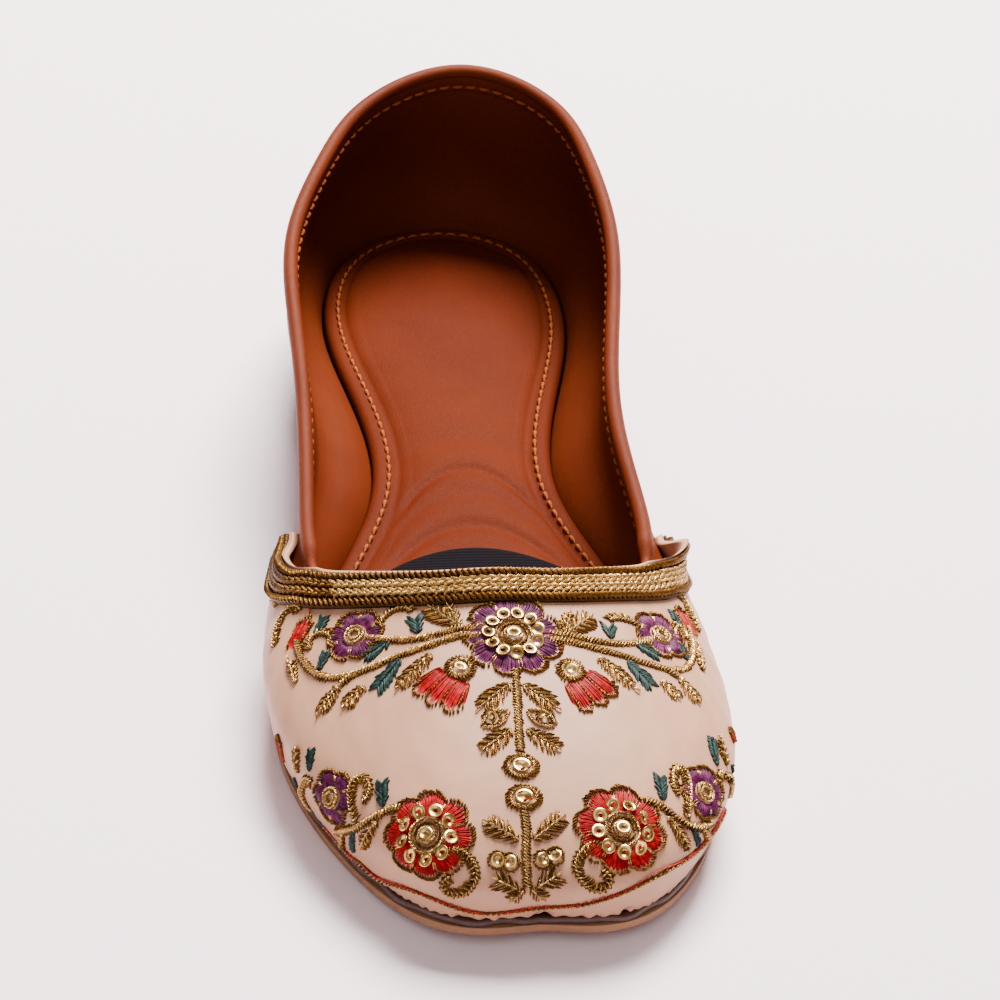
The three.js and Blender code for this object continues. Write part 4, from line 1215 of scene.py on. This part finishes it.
def flower(place, radius, petals, silk, sequins, eye):
    """Scalloped disc of radial stitches, its gold outline, and its sequins or its plain gold eye."""
    count = int(2 * math.pi * radius / 0.46)
    angle = np.arange(count) * 2 * math.pi / count
    scallop = np.abs(np.sin(petals * angle / 2 + 0.4)) ** 0.55
    rim = radius * (0.80 + 0.20 * scallop)
    around = np.stack([np.cos(angle), np.sin(angle)], -1)
    stitch(silk, place, around * radius * 0.40, around * (rim - 0.2)[:, None], width=0.64, rise=0.36,
           lift=0.0, jitter=0.12)
    notch = np.argsort(scallop)[:petals * 2]
    stitch("bright", place, around[notch] * radius * 0.58, around[notch] * radius * 0.80, width=0.30,
           rise=0.30, lift=0.25, jitter=0.1)
    edge = int(2 * math.pi * radius / 0.58)
    lean = 0.9 / radius
    angle = np.arange(edge) * 2 * math.pi / edge
    rim = radius * (0.80 + 0.20 * np.abs(np.sin(petals * angle / 2 + 0.4)) ** 0.55)
    inner = np.stack([np.cos(angle), np.sin(angle)], -1) * (rim - 0.35)[:, None]
    outer = np.stack([np.cos(angle + lean), np.sin(angle + lean)], -1) * (rim + 0.55)[:, None]
    stitch("dull", place, inner, outer, width=0.46, rise=0.40, lift=0.1, jitter=0.14)
    coil = np.arange(0, 2 * math.pi, 0.22)
    for share in ((0.40, 0.30, 0.20) if sequins else (0.36, 0.22)):
        first = np.stack([np.cos(coil), np.sin(coil)], -1) * radius * share
        second = np.stack([np.cos(coil + 0.42), np.sin(coil + 0.42)], -1) * radius * (share - 0.05)
        stitch("dull" if share == 0.30 else "bright", place, first, second, width=0.42, rise=0.42,
               lift=0.25, jitter=0.1)
    for k in range(sequins):
        at = 2 * math.pi * (k + 0.35) / sequins
        sequin(place, (radius * eye * math.cos(at), radius * eye * math.sin(at)), radius=1.42, lift=0.75)
    if sequins:
        sequin(place, (0.0, 0.0), radius=1.4, lift=1.0)


for bloom in FLOWERS:
    place = chart(bloom["at"])[0]
    for spot in ((place,) if bloom["lone"] else (place, turned_over(place))):
        flower(spot, bloom["radius"], bloom["petals"], bloom["silk"], bloom["sequins"], bloom["eye"])

# Buds
# Red tulip buds in silk satin stitch hang from a cup of gold zari with a sequin for its eye. Smaller buds
# sit at the sides, mostly petal.
BUDS = (
    {"from": (716, 620), "to": (683, 658), "wide": 0.45, "cup": 0.42},
    {"from": (566, 615), "to": (583, 585), "wide": 0.20, "cup": 0.10},
    {"from": (563, 707), "to": (558, 683), "wide": 0.20, "cup": 0.15},
)


def bud(base, tip, wide, cup):
    """Fan of red stitches with a notched end, edged in gold, below an oval cup of gold stitches."""
    direction, length = leaf_axes(base, tip)
    fan = np.linspace(-1, 1, max(7, int(2 * wide * length / 0.42)))
    lobes = 3 if cup > 0.3 else 1
    far = length * (0.82 + 0.18 * np.abs(np.cos(lobes * math.pi / 2 * fan)) ** 0.6) * (1 - 0.10 * fan**2)
    stitch("red", base, turned(direction, length * cup * 0.8 + 0 * fan, fan * wide * 0.62 * length),
           turned(direction, far, fan * wide * length), width=0.62, rise=0.38, lift=0.0, jitter=0.12)
    half = (fan[1:] + fan[:-1]) / 2
    stitch("dull", base, turned(direction, far[1:] - 0.3, half * wide * length),
           turned(direction, far[1:] + 0.6, half * wide * length * 1.1 + 0.4), width=0.44, rise=0.4,
           lift=0.1, jitter=0.14)
    for hand in (-1, 1):
        u = np.arange(length * cup, length * 0.84, 0.6)
        v = hand * wide * length * (0.62 + 0.38 * (u / length - cup * 0.8) / (1 - cup * 0.8))
        stitch("dull", base, turned(direction, u, v - hand * 0.2),
               turned(direction, u + 0.8, v + hand * 0.5), width=0.44, rise=0.38, lift=0.1, jitter=0.12)
    if cup > 0.3:
        u = np.arange(length * cup, length * 0.86, 0.8)
        for hand in (-1, 1):
            v = hand * wide * length / 3 * (0.62 + 0.38 * (u / length - cup * 0.8) / (1 - cup * 0.8))
            stitch("dull", base, turned(direction, u, v), turned(direction, u + 1.0, v), width=0.36,
                   rise=0.38, lift=0.2, jitter=0.12)
        angle = np.arange(0, 2 * math.pi, 0.24)
        middle, tall, broad = length * cup * 0.5, length * cup * 0.62, length * wide * 0.58
        for inner, outer, thread in ((0.55, 1.0, "dull"), (0.45, 0.7, "bright")):
            near = turned(direction, middle + inner * tall * np.cos(angle), inner * broad * np.sin(angle))
            ahead_by = angle + 0.3
            away = turned(direction, middle + outer * tall * np.cos(ahead_by),
                          outer * broad * np.sin(ahead_by))
            stitch(thread, base, near, away, width=0.46, rise=0.4, lift=0.2, jitter=0.12)
        eye = turned(direction, np.array([middle]), np.array([0.0]))[0]
        sequin(base, tuple(eye), radius=1.3, lift=0.7, squash=0.75, hole=0.12)


for shape in BUDS:
    ends = chart((shape["from"], shape["to"]))
    for base, tip in (ends, turned_over(ends)):
        bud(base, tip, shape["wide"], shape["cup"])

# Stem ornaments
# Two oval medallions on the stem, each a pale disc sewn down inside a gold ring, and pairs of sequins
# held in gold leaves beside it.
for at in ((760, 710), (762, 736)):
    place = chart(at)[0]
    angle = np.arange(0, 2 * math.pi, 0.20)
    oval = np.array([3.3, 2.7])
    for inner, outer, thread in ((0.72, 1.08, "dull"), (0.66, 0.86, "bright")):
        stitch(thread, place, np.stack([np.cos(angle), np.sin(angle)], -1) * oval * inner,
               np.stack([np.cos(angle + 0.3), np.sin(angle + 0.3)], -1) * oval * outer, width=0.46,
               rise=0.42, lift=0.1, jitter=0.12)
    sequin(place, (0.0, 0.0), radius=1.8, lift=0.45, squash=0.8, hole=0.10, lean=0.10)
    tack = np.array([(-1.3, 0.5), (0.9, -0.9), (-0.4, -1.1)])
    stitch("scarlet", place, tack, tack + [0.9, 0.5], width=0.3, rise=0.3, lift=0.8, jitter=0.1)
for at in ((735, 669), (740, 788), (750, 790)):
    place = chart(at)[0]
    for spot in (place, turned_over(place)):
        sequin(spot, (0.0, 0.0), radius=1.35, lift=0.45)
        angle = np.arange(0, 2 * math.pi, 0.42)
        stitch("dull", spot, np.stack([np.cos(angle), np.sin(angle)], -1) * 1.5,
               np.stack([np.cos(angle + 0.5), np.sin(angle + 0.5)], -1) * 2.0, width=0.42, rise=0.36,
               lift=0.1, jitter=0.1)
SEQUIN_LEAF = chart(((750, 663), (727, 677)))
for base, tip in (SEQUIN_LEAF, turned_over(SEQUIN_LEAF)):
    direction, length = leaf_axes(base, tip)
    u = np.linspace(0, length - 1.0, 14)
    swell = 1.7 * np.sin(math.pi * (u + 0.4) / length)
    for hand in (-1, 1):
        stitch("bright", base, turned(direction, u, hand * swell),
               turned(direction, u + 1.2, hand * swell * 0.9), width=0.42, rise=0.4, lift=0.1, jitter=0.1)

# Toe cord
# A thin rope of gold zari couched round the toe a few millimetres above the welt, with a stray red thread
# in it. A short end of the same red thread hangs below the braid on the -X side.
TOE_CORD = ((588, 762), (606, 780), (622, 792), (638, 800), (655, 808), (673, 814), (692, 822), (711, 829),
            (733, 832), (757, 830), (775, 828), (791, 827), (808, 826), (823, 823), (844, 816), (862, 808),
            (878, 800), (895, 790), (915, 773), (930, 754))
toe_line = chart(TOE_CORD)
rope("dull", toe_line, width=0.9, pitch=0.5, slant=0.8, stitch_width=0.46, rise=0.4)
rope("bright", toe_line, width=0.5, pitch=1.1, slant=0.9, stitch_width=0.34, rise=0.4, lift=0.25)
red_height = 0.012 + 0.0072 * np.sin(np.arange(len(toe_line)) * 2.1)
rope("scarlet", toe_line + np.stack([0 * red_height, red_height], -1), width=0.15, pitch=1.5, slant=1.7,
     stitch_width=0.26, rise=0.25, lift=0.2)
LOOSE_THREAD = ((588, 572), (585, 577), (582, 585))
rope("scarlet", chart(LOOSE_THREAD), width=0.1, pitch=1.2, slant=1.4, stitch_width=0.3, rise=0.25, lift=0.2)

# Embroidery threads
# All stitches of one thread are one mesh: gold zari in two tones, floss silk in three colours and a fine
# scarlet sewing thread. The gilt film sequins are one mesh too.


def silk_material(name, dark, bright, roughness=0.48):
    """Floss silk: smooth, with a soft shine, each strand a slightly different shade along the fabric."""
    material, tree, shader = new_material(name, Specular_IOR_Level=0.12, Roughness=roughness)
    spot = node(tree, "ShaderNodeTexCoord").outputs["Object"]
    shade = node(tree, "ShaderNodeTexNoise", {"Vector": spot, "Scale": 1100.0, "Detail": 1.0})
    strands = ramp(tree, shade.outputs["Fac"], [(0.32, dark), (0.68, bright)])
    tree.links.new(strands, shader.inputs["Base Color"])
    return material


thread_looks = {
    "dull": ("gold_thread", zari_dull), "bright": ("bright_gold_thread", zari_bright),
    "red": ("red_silk", silk_material("red_floss_silk", dark="#6c0004", bright="#a80009")),
    "purple": ("purple_silk", silk_material("purple_floss_silk", dark="#300a24", bright="#661e4e")),
    "green": ("green_silk", silk_material("teal_floss_silk", dark="#0e1c1a", bright="#263f3b")),
    "scarlet": ("red_thread", silk_material("scarlet_thread", dark="#8c0812", bright="#b81420")),
}
for thread, (name, look) in thread_looks.items():
    thread_piece(name, stitched[thread], "vamp", look)

sequin_count = len(sequin_rims)
sequin_starts = SEQUIN_SIDES * SECTION_POINTS * np.arange(sequin_count)
sequin_faces = grid_faces(SEQUIN_SIDES, SECTION_POINTS, True, True)[None] + sequin_starts[:, None, None]
sequins = mesh_piece("sequins", np.concatenate(sequin_rims), sequin_faces.reshape(-1, 4), "vamp",
                     stands_for=False)
gold_film, tree, shader = new_material("gold_sequin_film", Metallic=0.95, Roughness=0.25)
spot = node(tree, "ShaderNodeTexCoord").outputs["Object"]
tone = node(tree, "ShaderNodeTexNoise", {"Vector": spot, "Scale": 420.0, "Detail": 1.0})
film_colour = ramp(tree, tone.outputs["Fac"], [(0.3, "#8a6424"), (0.7, "#f0cf80")])
tree.links.new(film_colour, shader.inputs["Base Color"])
sequins.data.materials.append(gold_film)

# Floor, light and camera
# A pale sheet of paper under a wide soft light from above and behind, with a weak one in front. The
# camera stands where the photograph was taken, turned to the shoe and zoomed in.
FLOOR_SIZE = 6.0
bpy.ops.mesh.primitive_plane_add(size=FLOOR_SIZE, location=(0, 0, 0))
floor = bpy.context.object
floor.name = "floor"
floor_paper, tree, shader = new_material("pale_paper", Roughness=0.85)
shader.inputs["Base Color"].default_value = linear("#f5e6ee")
floor.data.materials.append(floor_paper)


def soft_light(name, place, size, power, colour):
    """A square area light that looks at the shoe."""
    data = bpy.data.lights.new(name, "AREA")
    data.size = size
    data.energy = power
    data.color = linear(colour)[:3]
    lamp = bpy.data.objects.new(name, data)
    lamp.location = place
    lamp.rotation_euler = (Vector((0, 0, 0.02)) - Vector(place)).to_track_quat("-Z", "Y").to_euler()
    bpy.context.collection.objects.link(lamp)


soft_light("overhead", (0.28, 0.86, 1.34), size=0.8, power=152.0, colour="#fff8f2")
soft_light("front_fill", (-0.2, -0.9, 1.2), size=1.2, power=8.0, colour="#fff4ee")
world = bpy.data.worlds.new("studio")
world.use_nodes = True
world.node_tree.nodes["Background"].inputs["Color"].default_value = linear("#f3e9ec")
world.node_tree.nodes["Background"].inputs["Strength"].default_value = 0.38
bpy.context.scene.world = world

SHOE_CENTRE = (742, 487)
CLOSER = 1.2
SENSOR = 36.0
aim = unit(ahead * PHOTO_FOCAL + rightward * (SHOE_CENTRE[0] - PHOTO_CENTRE)
           + upward * (PHOTO_CENTRE - SHOE_CENTRE[1]))
rightward = unit(rightward - aim * np.dot(rightward, aim))
upward = np.cross(rightward, aim)
camera_data = bpy.data.cameras.new("camera")
camera_data.sensor_width = SENSOR
camera_data.lens = PHOTO_FOCAL * CLOSER / 1000 * SENSOR
camera_data.clip_start = 0.01
camera = bpy.data.objects.new("camera", camera_data)
camera.matrix_world = Matrix.Translation(np.array(VIEWPOINT) + row_shift) @ Matrix(
    np.stack([rightward, upward, -aim], 1).tolist()).to_4x4()
bpy.context.collection.objects.link(camera)
bpy.context.scene.camera = camera
